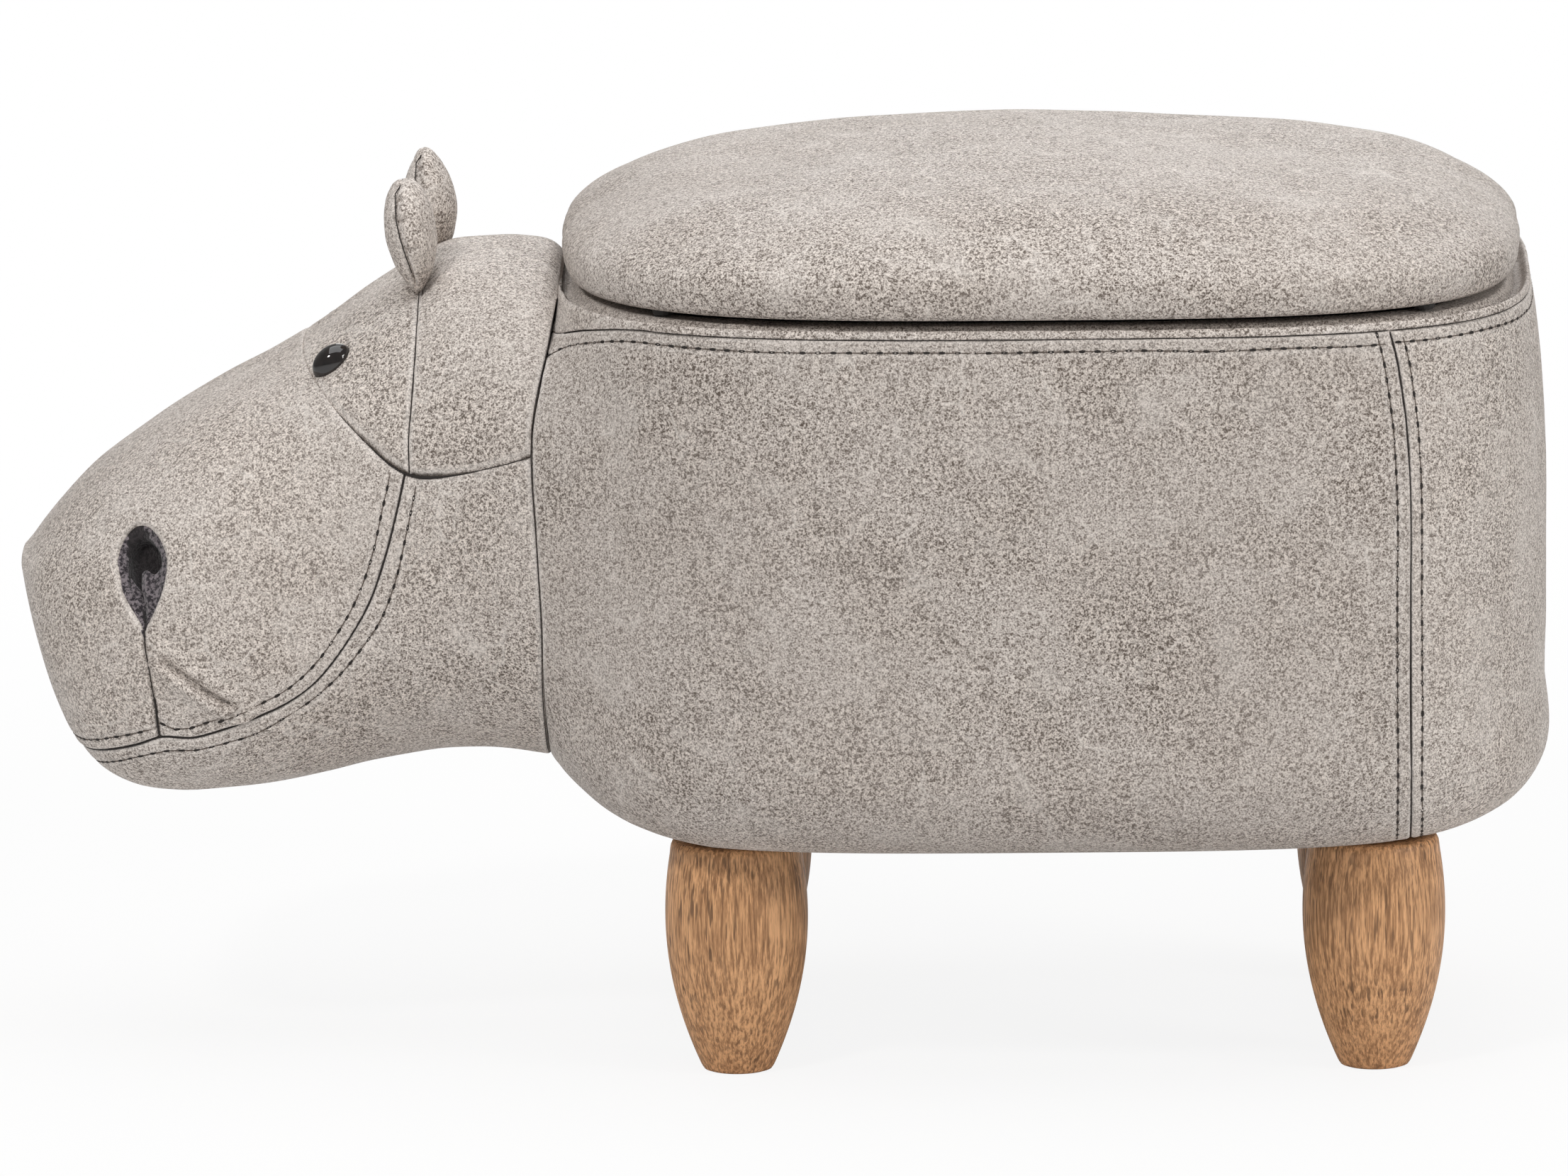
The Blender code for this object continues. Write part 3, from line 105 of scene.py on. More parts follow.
# Finish of the covers
SHEET = 0.0012
SEAM_ALLOWANCE = 0.004
STITCH_PITCH = 0.0064
STITCH_LENGTH = 0.0044
THREAD_RADIUS = 0.00021
HOLE_RADIUS = 0.00060
HOLE_STRETCH = 2.5
RIM_ROW_DROP = 0.0050
REAR_ROW_AHEAD = 0.0058
REAR_ROW_BEHIND = 0.0046

THREAD_SIDES = 6
# Along the stitch as shares of its length, height in radii, width as a share
THREAD_STEPS = ((-0.50, -1.9, 0.55), (-0.42, 0.0, 0.9), (-0.22, 0.75, 1.0), (0.0, 0.9, 1.0), (0.22, 0.75, 1.0),
                (0.42, 0.0, 0.9), (0.50, -1.9, 0.55))
HOLE_SIDES = 8
HOLE_STEPS = ((1.0, -0.6), (1.0, 0.25), (0.55, 0.30), (0.25, 0.05))
SEAM_STEP = 0.0012
SEAM_SIDES = 6
# Depth and reach of the roll-in at a seam, and the depth of the wide dish round it
NECK_ROLL = (0.0012, 0.0016, 0.0003)
RIM_ROLL = (0.0007, 0.0011, 0.0001)
UNSEWN = (None, 0.0, 0.001, 0.0)
# How near a point has to be to count as on a stitched line, on a seam and on a panel's edge
ON_LINE = 0.0006
ON_SEAM = 0.0008
ON_EDGE = 0.0004
EDGE_SAMPLE = 0.0005

# Rim, linings, staples and screws
LIP_ROUND = 0.0014
LIP_DROP = 0.0010
LIP_HOLLOW = 0.0040
INNER_ROUND = 0.0025
CORNER_CLEARANCE = 0.0025
LINING_GAP = 0.0010
LINING_SHEET = 0.0008
LINING_TOP_Z = RIM_TOP - BINDING_INSIDE + 0.004
STAPLE_SPACING = 0.026
STAPLE_SIZES = (0.010, 0.0012, 0.0006)
HINGE_SCREW_PLACES = ((-0.017, 0.147), (0, 0.152), (0.017, 0.147))
SCREW_HEAD = ((0.0028, -0.0001), (0.0028, 0.0003), (0.0022, 0.0006), (0.0008, 0.0007))
LEG_BELLY_Z = 0.066
LEG_BELLY_RADIUS = 0.0298

# Stage: lamps as place, size, watts and colour, all aimed at the same point
FLOOR_REACH = 14.0
WHITE = (1, 1, 1, 1)
FLOOR_COLOUR = (0.84, 0.84, 0.84, 1)
SURROUND_COLOUR = (1.0, 0.985, 0.965, 1)
SURROUND_STRENGTH = 0.29
LAMP_TARGET = (0, 0, 0.2)
LAMPS = {
    "overhead": ((0.1, 0.0, 2.4), (2.6, 2.6), 40, (0.97, 0.985, 1.0)),
    "key_left_front": ((-1.15, -2.0, 2.2), (0.36, 0.36), 28, (1.0, 0.98, 0.955)),
    "right_front": ((2.3, -1.3, 1.1), (0.7, 0.8), 19, (1.0, 0.98, 0.95)),
    "back_fill": ((0.4, 2.8, 1.2), (1.6, 1.2), 14, (1, 1, 1)),
}

# Facet counts
PLAN_POINTS = 620
HEAD_RINGS = 190
HEAD_POINTS = 300
PLAN_SAMPLES = 6000

# Sections of the head: distance back from the nose as a share of its length, top and bottom as
# shares of its height, then half width and height of the widest line as shares.
HEAD_SECTION_SHARES = (
    (0.000, 0.440, 0.412, 0.20, 0.50),
    (0.015, 0.455, 0.346, 0.38, 0.50),
    (0.037, 0.482, 0.266, 0.54, 0.48),
    (0.069, 0.519, 0.173, 0.67, 0.46),
    (0.103, 0.554, 0.106, 0.77, 0.45),
    (0.151, 0.597, 0.054, 0.86, 0.44),
    (0.219, 0.645, 0.023, 0.94, 0.43),
    (0.301, 0.698, 0.013, 0.985, 0.42),
    (0.393, 0.748, 0.016, 1.00, 0.42),
    (0.489, 0.796, 0.025, 0.985, 0.43),
    (0.585, 0.851, 0.041, 0.965, 0.45),
    (0.671, 0.910, 0.060, 0.965, 0.46),
    (0.749, 0.954, 0.073, 0.985, 0.48),
    (0.822, 0.986, 0.081, 1.02, 0.49),
    (0.895, 0.992, 0.084, 1.07, 0.50),
    (0.959, 0.992, 0.080, 1.12, 0.50),
    (1.016, 0.980, 0.070, 1.16, 0.50),
    (1.050, 0.950, 0.060, 1.18, 0.50),
)

# Seams of the head in side view, as X and Z. Each runs on past the surface at its open ends.
CREASE = (
    (-0.2150, 0.3600), (-0.2050, 0.3100), (-0.2002, 0.2945), (-0.1965, 0.2898), (-0.1925, 0.2859),
    (-0.1856, 0.2786), (-0.1781, 0.2715), (-0.1707, 0.2650), (-0.1622, 0.2582), (-0.1566, 0.2552),
    (-0.1504, 0.2539), (-0.1412, 0.2544), (-0.1316, 0.2561), (-0.1141, 0.2609), (-0.1021, 0.2650),
    (-0.0850, 0.2700),
)
MUZZLE = (
    (-0.1545, 0.2680), (-0.1566, 0.2552), (-0.1593, 0.2420), (-0.1657, 0.2176), (-0.1720, 0.2001),
    (-0.1793, 0.1870), (-0.1867, 0.1759), (-0.1950, 0.1660), (-0.2067, 0.1573), (-0.2178, 0.1520),
    (-0.2332, 0.1463), (-0.2465, 0.1426), (-0.2603, 0.1428), (-0.2688, 0.1392), (-0.2771, 0.1362),
    (-0.2901, 0.1322), (-0.3100, 0.1270), (-0.3400, 0.1220),
)
INNER_ROW = (
    (-0.1600, 0.2700), (-0.1627, 0.2540), (-0.1660, 0.2397), (-0.1706, 0.2200), (-0.1775, 0.2014),
    (-0.1853, 0.1877), (-0.1943, 0.1752), (-0.2044, 0.1655), (-0.2132, 0.1600), (-0.2231, 0.1557),
    (-0.2330, 0.1523), (-0.2397, 0.1502), (-0.2491, 0.1472), (-0.2552, 0.1475), (-0.2593, 0.1501),
)
INNER_FRONT_ROW = ((-0.2613, 0.1472), (-0.2720, 0.1439), (-0.2800, 0.1414), (-0.2895, 0.1381), (-0.3050, 0.1340))
OUTER_ROW = (
    (-0.1480, 0.2700), (-0.1511, 0.2538), (-0.1536, 0.2411), (-0.1567, 0.2268), (-0.1608, 0.2099),
    (-0.1671, 0.1935), (-0.1767, 0.1790), (-0.1869, 0.1669), (-0.1969, 0.1580), (-0.2069, 0.1514),
    (-0.2180, 0.1452), (-0.2335, 0.1400), (-0.2468, 0.1370), (-0.2528, 0.1370), (-0.2607, 0.1357),
    (-0.2726, 0.1318), (-0.2833, 0.1272), (-0.2930, 0.1215), (-0.3100, 0.1150),
)
EAR_SEAM = ((-0.1543, 0.2400), (-0.1545, 0.2691), (-0.1535, 0.2859), (-0.1524, 0.3019), (-0.1514, 0.3217),
            (-0.1505, 0.3800))
NECK = (
    (-0.0921, 0.3700), (-0.0921, 0.3290), (-0.0952, 0.3108), (-0.1003, 0.2915), (-0.1034, 0.2746),
    (-0.1035, 0.2619), (-0.1018, 0.2299), (-0.1001, 0.1873), (-0.1003, 0.1619), (-0.0998, 0.1426),
    (-0.0988, 0.1166), (-0.0985, 0.0600),
)
DART = (
    (-0.2662, 0.1905), (-0.2656, 0.1810), (-0.2640, 0.1716), (-0.2630, 0.1643), (-0.2617, 0.1577),
    (-0.2609, 0.1477), (-0.2603, 0.1429),
)
FOLD = ((-0.2575, 0.1768), (-0.2464, 0.1684), (-0.2357, 0.1610), (-0.2262, 0.1556))
NOSTRIL = (
    (-0.2678, 0.2317), (-0.2717, 0.2301), (-0.2750, 0.2261), (-0.2772, 0.2210), (-0.2776, 0.2160),
    (-0.2769, 0.2095), (-0.2748, 0.2028), (-0.2709, 0.1963), (-0.2676, 0.1918), (-0.2662, 0.1891),
    (-0.2648, 0.1918), (-0.2615, 0.1984), (-0.2584, 0.2065), (-0.2568, 0.2140), (-0.2567, 0.2192),
    (-0.2584, 0.2247), (-0.2610, 0.2285), (-0.2642, 0.2310),
)
NOSTRIL_MIDDLE = (-0.2672, 0.2140)
EYE_MIDDLE = (-0.1873, 0.2951)
EYE_RISE_SHARES = (0.605, 0.796)
EAR_SECTION_SHARES = (
    (0.00, 0.04, 0.05),
    (0.05, 0.24, 0.22),
    (0.14, 0.50, 0.46),
    (0.30, 0.82, 0.80),
    (0.52, 1.00, 1.00),
    (0.70, 0.95, 0.94),
    (0.84, 0.79, 0.77),
    (0.94, 0.54, 0.52),
    (0.985, 0.30, 0.28),
    (1.00, 0.06, 0.06),
)
EAR_SQUARENESS = 1.8
# The ear's seam seen from the side: height as a share, place as a share of the thickness
EAR_SEAM_LINE = ((0, 0.0), (0.22, -0.06), (0.35, -0.13), (0.55, -0.21), (0.78, -0.25), (0.90, -0.21),
                 (1.0, -0.02))
EAR_DENTS = ((0.68, 0.0042), (0.42, 0.0050), (0.86, 0.0036))
EAR_ROOT_DENT = 0.0032
EAR_ROOT_DENT_REACH = 0.0075
# The eye's half length, half width and height, and how far lower the far eye lies
EYE_SIZES = (0.0094, 0.0064, 0.0074)
FAR_EYE_DROP = 0.0050
# The pouch's rows: size against the nostril's outline, depth
POUCH_STEPS = ((1.09, 0.0010), (1.04, 0.0018), (0.98, 0.0024), (0.88, 0.0030), (0.76, 0.0036),
               (0.70, 0.0048), (0.67, 0.0080), (0.64, 0.0110), (0.50, 0.0128), (0.25, 0.0134))
# Radius of the near-black cord in the brow's crease, by X, which sets the width of the seam's painted shade
CREASE_SHADE_CORD = ((-0.205, 0.00012), (-0.192, 0.00018), (-0.170, 0.00026), (-0.160, 0.00040), (-0.149, 0.00072),
                 (-0.138, 0.00034), (-0.125, 0.00020), (-0.105, 0.00018))


# Curves, noise and outlines


def smooth_path(points, count):
    """Evenly spread points on a smooth curve through the given ones."""
    points = np.asarray(points, float)
    steps = np.linalg.norm(np.diff(points, axis=0), axis=1)
    at = np.concatenate([[0], np.cumsum(steps)])
    slopes = np.gradient(points, at, axis=0)
    stops = np.linspace(0, at[-1], count)
    index = np.clip(np.searchsorted(at, stops, side="right") - 1, 0, len(at) - 2)
    span = (at[index + 1] - at[index])[:, None]
    t = (stops - at[index])[:, None] / span
    start, end = points[index], points[index + 1]
    leaving, arriving = slopes[index] * span, slopes[index + 1] * span
    return ((2 * t**3 - 3 * t**2 + 1) * start + (t**3 - 2 * t**2 + t) * leaving
            + (3 * t**2 - 2 * t**3) * end + (t**3 - t**2) * arriving)


def lattice_value(cells, seed):
    """A repeatable random value from -1 to 1 for each whole-number cell."""
    mixed = cells[:, 0] * 73856093 ^ cells[:, 1] * 19349663 ^ cells[:, 2] * 83492791 ^ seed * 2654435761
    mixed = (mixed ^ (mixed >> 13)) * 1274126177
    mixed = mixed ^ (mixed >> 16)
    return (mixed & 0xFFFF) / 32767.5 - 1


def eased(share):
    """A share from 0 to 1 made slow at both ends."""
    return share * share * (3 - 2 * share)


def bell(distance, width):
    """A round bump, 1 in its middle."""
    return np.exp(-(distance / width) ** 2)


def noise_at(points, size, seed):
    """Smooth noise from -1 to 1 whose bumps have the given size."""
    scaled = np.asarray(points, float) / size
    cell = np.floor(scaled).astype(np.int64)
    part = scaled - cell
    part = eased(part)
    total = np.zeros(len(scaled))
    for corner in np.ndindex(2, 2, 2):
        weight = np.prod(np.where(corner, part, 1 - part), axis=1)
        total += weight * lattice_value(cell + corner, seed)
    return total


def oval_outline(length, width, squareness):
    """The plan oval as points evenly spread along it, anticlockwise from +X."""
    angles = np.linspace(0, 2 * math.pi, PLAN_SAMPLES + 1)
    cosine, sine = np.cos(angles), np.sin(angles)
    x = length / 2 * np.sign(cosine) * np.abs(cosine) ** (2 / squareness)
    y = width / 2 * np.sign(sine) * np.abs(sine) ** (2 / squareness)
    travel = np.concatenate([[0], np.cumsum(np.hypot(np.diff(x), np.diff(y)))])
    stops = np.linspace(0, travel[-1], PLAN_POINTS, endpoint=False)
    return np.column_stack([np.interp(stops, travel, x), np.interp(stops, travel, y)])


def outward_of(outline):
    """Unit directions square to an outline, pointing out."""
    ahead = np.roll(outline, -1, axis=0) - np.roll(outline, 1, axis=0)
    normal = np.column_stack([ahead[:, 1], -ahead[:, 0]])
    return normal / np.linalg.norm(normal, axis=1)[:, None]


BODY_OUTLINE = oval_outline(BODY_LENGTH, BODY_WIDTH, PLAN_SQUARENESS)
BODY_OUTWARD = outward_of(BODY_OUTLINE)
LID_OUTLINE = oval_outline(LID_LENGTH, LID_WIDTH, LID_SQUARENESS)
LID_OUTWARD = outward_of(LID_OUTLINE)


def body_ring(inset, height):
    """The barrel's plan oval at an inset and a height."""
    outline = BODY_OUTLINE - BODY_OUTWARD * inset + (BODY_CENTRE_X, 0)
    return np.column_stack([outline, np.full(len(outline), height)])


def lid_ring(inset, height):
    """The lid's plan oval at an inset and a height, shrunk evenly beyond its edge."""
    edge = min(inset, LID_EDGE_REACH)
    shrink = 1 - max(0, inset - edge) / (LID_WIDTH / 2 - edge)
    outline = (LID_OUTLINE - LID_OUTWARD * edge) * shrink + (BODY_CENTRE_X, 0)
    return np.column_stack([outline, np.full(len(outline), height)])


def side_draw_in(height):
    """How far the barrel's side lies inside its widest line."""
    if height > BELLY_Z:
        return RIM_DRAW_IN * ((height - BELLY_Z) / (RIM_TOP - BELLY_Z)) ** 2
    return FOOT_DRAW_IN * ((BELLY_Z - height) / (BELLY_Z - COVER_BOTTOM)) ** 2


# Mesh tools


def grid_shape(rows, around=True):
    """A bmesh through rows of points, each row joined to its own start when around is set."""
    count = len(rows[0])
    shape = bmesh.new()
    made = [[shape.verts.new(point) for point in row] for row in rows]
    last = count if around else count - 1
    for low, high in zip(made, made[1:]):
        for index in range(last):
            after = (index + 1) % count
            shape.faces.new((low[index], low[after], high[after], high[index]))
    return shape, made


def turned_outward(shape, centre, sign=1):
    """Turns all faces round if most of them look toward the centre, or away from it with sign -1."""
    shape.normal_update()
    total = sum(face.normal.dot(face.calc_center_median() - centre) * face.calc_area() for face in shape.faces)
    if total * sign < 0:
        bmesh.ops.reverse_faces(shape, faces=shape.faces[:])
        shape.normal_update()


def turned_up(shape, sign=1):
    """Turns all faces round if most of them look down, or up with sign -1."""
    shape.normal_update()
    if sum(face.normal.z for face in shape.faces) * sign < 0:
        bmesh.ops.reverse_faces(shape, faces=shape.faces[:])
        shape.normal_update()


def tube(shape, rings):
    """Closed faces through rings of equal count."""
    count = len(rings[0])
    faces = []
    for low, high in zip(rings, rings[1:]):
        for side in range(count):
            after = (side + 1) % count
            faces.append(shape.faces.new((low[side], low[after], high[after], high[side])))
    return faces + [shape.faces.new(rings[0][::-1]), shape.faces.new(rings[-1])]


def ring_at(shape, centre, first, second, radius, sides):
    """Vertices round a centre, in the plane of two directions."""
    ring = []
    for side in range(sides):
        angle = 2 * math.pi * side / sides
        ring.append(shape.verts.new(centre + (first * math.cos(angle) + second * math.sin(angle)) * radius))
    return ring


def open_edges(shape):
    return [edge for edge in shape.edges if len(edge.link_faces) == 1]


def chains(links):
    """Linked edges or vertices as runs, those with an end first."""
    runs, used = [], set()
    for item in sorted(links, key=lambda item: (len(links[item]), item.index)):
        if item in used:
            continue
        run = [item]
        used.add(item)
        while onward := [other for other in links[run[-1]] if other not in used]:
            run.append(onward[0])
            used.add(onward[0])
        runs.append(run)
    return runs


def places_of(shape):
    return np.array([vert.co[:] for vert in shape.verts])


def store_outward(shape):
    """Keeps each vertex's direction, so that parts cut from one skin move alike at their seams."""
    layer = shape.verts.layers.float_vector.new("outward")
    for vert in shape.verts:
        vert[layer] = vert.normal


def outward_layer(shape):
    """The layer of the directions that store_outward keeps."""
    return shape.verts.layers.float_vector["outward"]


def in_order(items):
    """The items without repeats, in the order they come, so that every run is the same."""
    return list(dict.fromkeys(items))


def refined(shape, near):
    """Splits the faces whose middles the test picks into four."""
    middles = np.array([face.calc_center_median()[:] for face in shape.faces])
    picked = near(middles)
    edges = in_order(edge for face, wanted in zip(shape.faces, picked) if wanted for edge in face.edges)
    bmesh.ops.subdivide_edges(shape, edges=edges, cuts=1, use_grid_fill=True)


def split_along(shape, field):
    """Adds edges where the field changes sign."""
    verts = list(shape.verts)
    values = field(places_of(shape))
    values[np.abs(values) < 1e-7] = 1e-7
    value = dict(zip(verts, values))
    crossing = [edge for edge in shape.edges if value[edge.verts[0]] * value[edge.verts[1]] < 0]
    touched = in_order(face for edge in crossing for face in edge.link_faces)
    for edge in crossing:
        start, end = edge.verts
        share = value[start] / (value[start] - value[end])
        place = start.co.lerp(end.co, share)
        _, vert = bmesh.utils.edge_split(edge, start, share)
        vert.co = place
        value[vert] = 0.0
    for face in touched:
        ends = [vert for vert in face.verts if value[vert] == 0.0]
        if len(ends) == 2:
            bmesh.utils.face_split(face, ends[0], ends[1])


def parted(shape, field):
    """Two copies of a shape, of what lies below and above zero in the field."""
    split_along(shape, field)
    shape.verts.index_update()
    shape.faces.ensure_lookup_table()
    middles = np.array([face.calc_center_median()[:] for face in shape.faces])
    above = field(middles) > 0
    halves = []
    for unwanted in (above, ~above):
        half = shape.copy()
        half.faces.ensure_lookup_table()
        gone = [half.faces[index] for index in np.flatnonzero(unwanted)]
        bmesh.ops.delete(half, geom=gone, context="FACES")
        halves.append(half)
    shape.free()
    return halves


def beside(curve):
    """A field: distance from a side-view curve, positive on the left of its direction."""
    curve = np.asarray(curve, float)
    ahead = np.diff(curve, axis=0)

    def field(points):
        flat = np.asarray(points)[:, [0, 2]]
        nearest = np.full(len(flat), np.inf)
        sign = np.ones(len(flat))
        for start, step in zip(curve, ahead):
            away = flat - start
            share = np.clip(away @ step / (step @ step), 0, 1)
            gap = away - share[:, None] * step
            distance = np.hypot(gap[:, 0], gap[:, 1])
            closer = distance < nearest
            nearest = np.where(closer, distance, nearest)
            turn = step[0] * away[:, 1] - step[1] * away[:, 0]
            sign = np.where(closer, np.where(turn < 0, -1.0, 1.0), sign)
        return nearest * sign
    return field


def contour(shape, field):
    """The lines on a surface where the field is zero, each as ordered points with outward directions."""
    layer = outward_layer(shape)
    verts = list(shape.verts)
    value = dict(zip(verts, field(places_of(shape))))
    place, outward = {}, {}
    for edge in shape.edges:
        start, end = edge.verts
        if value[start] * value[end] < 0:
            share = value[start] / (value[start] - value[end])
            place[edge] = start.co.lerp(end.co, share)
            outward[edge] = start[layer].lerp(end[layer], share)
    links = {edge: [] for edge in place}
    for face in in_order(face for edge in place for face in edge.link_faces):
        crossed = [edge for edge in face.edges if edge in place]
        if len(crossed) == 2:
            links[crossed[0]].append(crossed[1])
            links[crossed[1]].append(crossed[0])
    lines = []
    for run in chains(links):
        line = [item for item in run if abs(field(np.array([place[item][:]]))[0]) < ON_LINE]
        if len(line) > 3:
            lines.append((np.array([place[item][:] for item in line]),
                          np.array([outward[item][:] for item in line])))
    return lines


def object_of(name, shape, surfaces):
    """Makes an object of a bmesh, with its materials and smooth shading."""
    mesh = bpy.data.meshes.new(name)
    shape.to_mesh(mesh)
    shape.free()
    piece = bpy.data.objects.new(name, mesh)
    bpy.context.scene.collection.objects.link(piece)
    for surface in surfaces:
        mesh.materials.append(surface)
    mesh.shade_smooth()
    return piece


def thickened(piece, thickness):
    """Turns a sheet into a closed cover, its second side inward."""
    modifier = piece.modifiers.new("thickness", "SOLIDIFY")
    modifier.thickness = thickness
    modifier.offset = -1
    modifier.use_rim = True
    apply_modifiers(piece)
    return piece


def apply_modifiers(piece):
    """Bakes a piece's modifiers into its mesh."""
    bpy.context.view_layer.update()
    graph = bpy.context.evaluated_depsgraph_get()
    mesh = bpy.data.meshes.new_from_object(piece.evaluated_get(graph))
    piece.modifiers.clear()
    piece.data = mesh


# Seams: how a cover rolls in at its edges


def tree_of(points):
    tree = kdtree.KDTree(len(points))
    for index, point in enumerate(points):
        tree.insert(point, index)
    tree.balance()
    return tree


def edge_samples(shape, spacing):
    """Closely spaced points along the open edges of a shape."""
    samples = []
    for edge in open_edges(shape):
        start, end = edge.verts
        count = max(1, int(edge.calc_length() / spacing))
        samples += [start.co.lerp(end.co, step / count) for step in range(count)]
    return samples


def rolled(distance, depth, reach):
    """How deep a cover lies at a distance from its sewn edge: a quarter round down to the depth."""
    near = np.clip(1 - distance / reach, 0, 1)
    return depth * (1 - np.sqrt(1 - near**2))


def sew_in(shape, seams, rows, seed):
    """Moves a panel inward along its seams and topstitched rows, with the puckers of sewn leather.

    Each seam is (field or None for the rest, depth, reach, dish), each row is a line of points.
    """
    points = places_of(shape)
    samples = edge_samples(shape, EDGE_SAMPLE)
    kind = np.full(len(samples), len(seams) - 1)
    sample_points = np.array([sample[:] for sample in samples])
    nearest = np.full(len(samples), ON_SEAM)
    for index, seam in enumerate(seams):
        if seam[0] is not None:
            off = np.abs(seam[0](sample_points))
            kind = np.where(off < nearest, index, kind)
            nearest = np.minimum(off, nearest)
    tree = tree_of(samples)
    distance = np.zeros(len(points))
    style = np.zeros(len(points), int)
    for index, vert in enumerate(shape.verts):
        _, found, gap = tree.find(vert.co)
        distance[index] = gap
        style[index] = kind[found]
    depth, reach, dish = (np.array([seam[field] for seam in seams])[style] for field in (1, 2, 3))
    pucker = 1 + 0.30 * noise_at(points, 0.009, seed) + 0.2 * noise_at(points, 0.0035, seed + 1)
    sink = rolled(distance, depth, reach)
    sink += dish * pucker * bell(distance, 0.007)
    fade_crease(points, sink)
    rise = np.clip(sink * 6 / np.maximum(depth, 0.0005), 0, 1)
    # Painted highlight, partly wear: a paler band on the shoulder of each seam's roll-in, where the light catches
    # the edge.
    wear_and_highlight = bell(distance - 0.55 * reach, 0.0011) * np.where(depth > 0, 1, 0) * rise
    if rows:
        row_points = np.concatenate(rows)
        row_tree = tree_of([Vector(point) for point in row_points])
        gaps = np.array([row_tree.find(vert.co)[2] for vert in shape.verts])
        along = 0.75 + 0.35 * noise_at(points, 0.004, seed + 2)
        sink += 0.00055 * along * bell(gaps, 0.0012)
        # Painted highlight, partly wear: a paler line beside each row of stitches.
        wear_and_highlight = np.maximum(wear_and_highlight, 0.5 * bell(gaps - 0.0016, 0.0008))
    store_wear_and_highlight(shape, wear_and_highlight)
    return sink


def store_wear_and_highlight(shape, wear_and_highlight):
    """Keeps how pale each vertex is painted, partly wear and partly painted highlight on rolled edges, which the
    leather reads.
    """
    layer = shape.verts.layers.float.new("wear_and_highlight")
    for vert, amount in zip(shape.verts, wear_and_highlight):
        vert[layer] = float(amount)


def fade_crease(points, sink):
    """The brow's seam flattens out over the forehead."""
    over = (points[:, 0] < -0.17) & (points[:, 0] > -0.24) & (points[:, 2] > 0.27)
    flat = np.clip((points[:, 2] - 0.260) / 0.024, 0, 1)
    sink *= np.where(over, 1 - 0.82 * flat, 1)
    behind = (points[:, 0] > -0.145) & (points[:, 0] < -0.108) & (points[:, 2] < 0.275) & (points[:, 2] > 0.245)
    sink *= np.where(behind, 1 - 0.55 * np.clip((points[:, 0] + 0.142) / 0.016, 0, 1), 1)
    top = (points[:, 0] > -0.105) & (points[:, 0] < -0.09)
    sink *= np.where(top, 1 - 0.85 * np.clip((points[:, 2] - 0.300) / 0.02, 0, 1), 1)


def move_inward(shape, sink):
    """Moves each vertex inward by its own amount."""
    layer = outward_layer(shape)
    for vert, amount in zip(shape.verts, sink):
        vert.co -= vert[layer].normalized() * float(amount)


def turn_in(shape):
    """Gives every open edge of a panel its seam allowance, turned inward."""
    layer = outward_layer(shape)
    for vert in extruded(shape, open_edges(shape)):
        vert.co -= vert[layer].normalized() * SEAM_ALLOWANCE
    shape.normal_update()


def extruded(shape, edges):
    """New vertices of a strip of faces added along some edges."""
    made = bmesh.ops.extrude_edge_only(shape, edges=edges)["geom"]
    return [item for item in made if isinstance(item, bmesh.types.BMVert)]


def soft_waves(points, seed, amount=0.00045):
    """Slow unevenness of stuffed leather."""
    return amount * (noise_at(points, 0.045, seed) + 0.5 * noise_at(points, 0.018, seed + 5))


# Stitches


def spaced_along(line, outward, pitch):
    """Places, directions and outward directions at even steps along a line."""
    travel = np.concatenate([[0], np.cumsum(np.linalg.norm(np.diff(line, axis=0), axis=1))])
    count = int(travel[-1] / pitch)
    stops = (np.arange(count) + 0.5) * pitch + (travel[-1] - count * pitch) / 2

    def at(values, stop):
        return np.column_stack([np.interp(stop, travel, values[:, axis]) for axis in range(3)])
    middle = at(line, stops)
    ahead = at(line, stops + pitch * 0.3) - at(line, stops - pitch * 0.3)
    ahead /= np.maximum(np.linalg.norm(ahead, axis=1), 1e-9)[:, None]
    up = at(outward, stops)
    up -= (up * ahead).sum(1)[:, None] * ahead
    up /= np.maximum(np.linalg.norm(up, axis=1), 1e-9)[:, None]
    return middle, ahead, up


def stitch_row(name, lines, on):
    """One object of all stitches along some lines, each a short bow of thread between two needle holes, each hole
    a small near-black disc of painted shade.
    """
    tree = BVHTree.FromBMesh(on)
    shape = bmesh.new()
    for line, outward in lines:
        for middle, ahead, up in zip(*spaced_along(line, outward, STITCH_PITCH)):
            middle, ahead, up = Vector(middle), Vector(ahead), Vector(up)
            hit = tree.ray_cast(middle + up * 0.006, -up, 0.015)[0]
            if hit is None:
                continue
            across = ahead.cross(up)
            rings = []
            for along, rise, width in THREAD_STEPS:
                centre = hit + ahead * (along * STITCH_LENGTH) + up * (rise * THREAD_RADIUS)
                rings.append(ring_at(shape, centre, across, up, THREAD_RADIUS * width, THREAD_SIDES))
            tube(shape, rings)
            centre = hit + ahead * (STITCH_PITCH / 2)
            rings = [ring_at(shape, centre + up * (rise * HOLE_RADIUS), ahead * HOLE_STRETCH, across,
                             width * HOLE_RADIUS, HOLE_SIDES) for width, rise in HOLE_STEPS]
            for face in tube(shape, rings):
                # The hole's disc is near black: painted shade.
                face.material_index = 1
    bmesh.ops.recalc_face_normals(shape, faces=shape.faces[:])
    return object_of(name, shape, [THREAD, SEAM_SHADE])


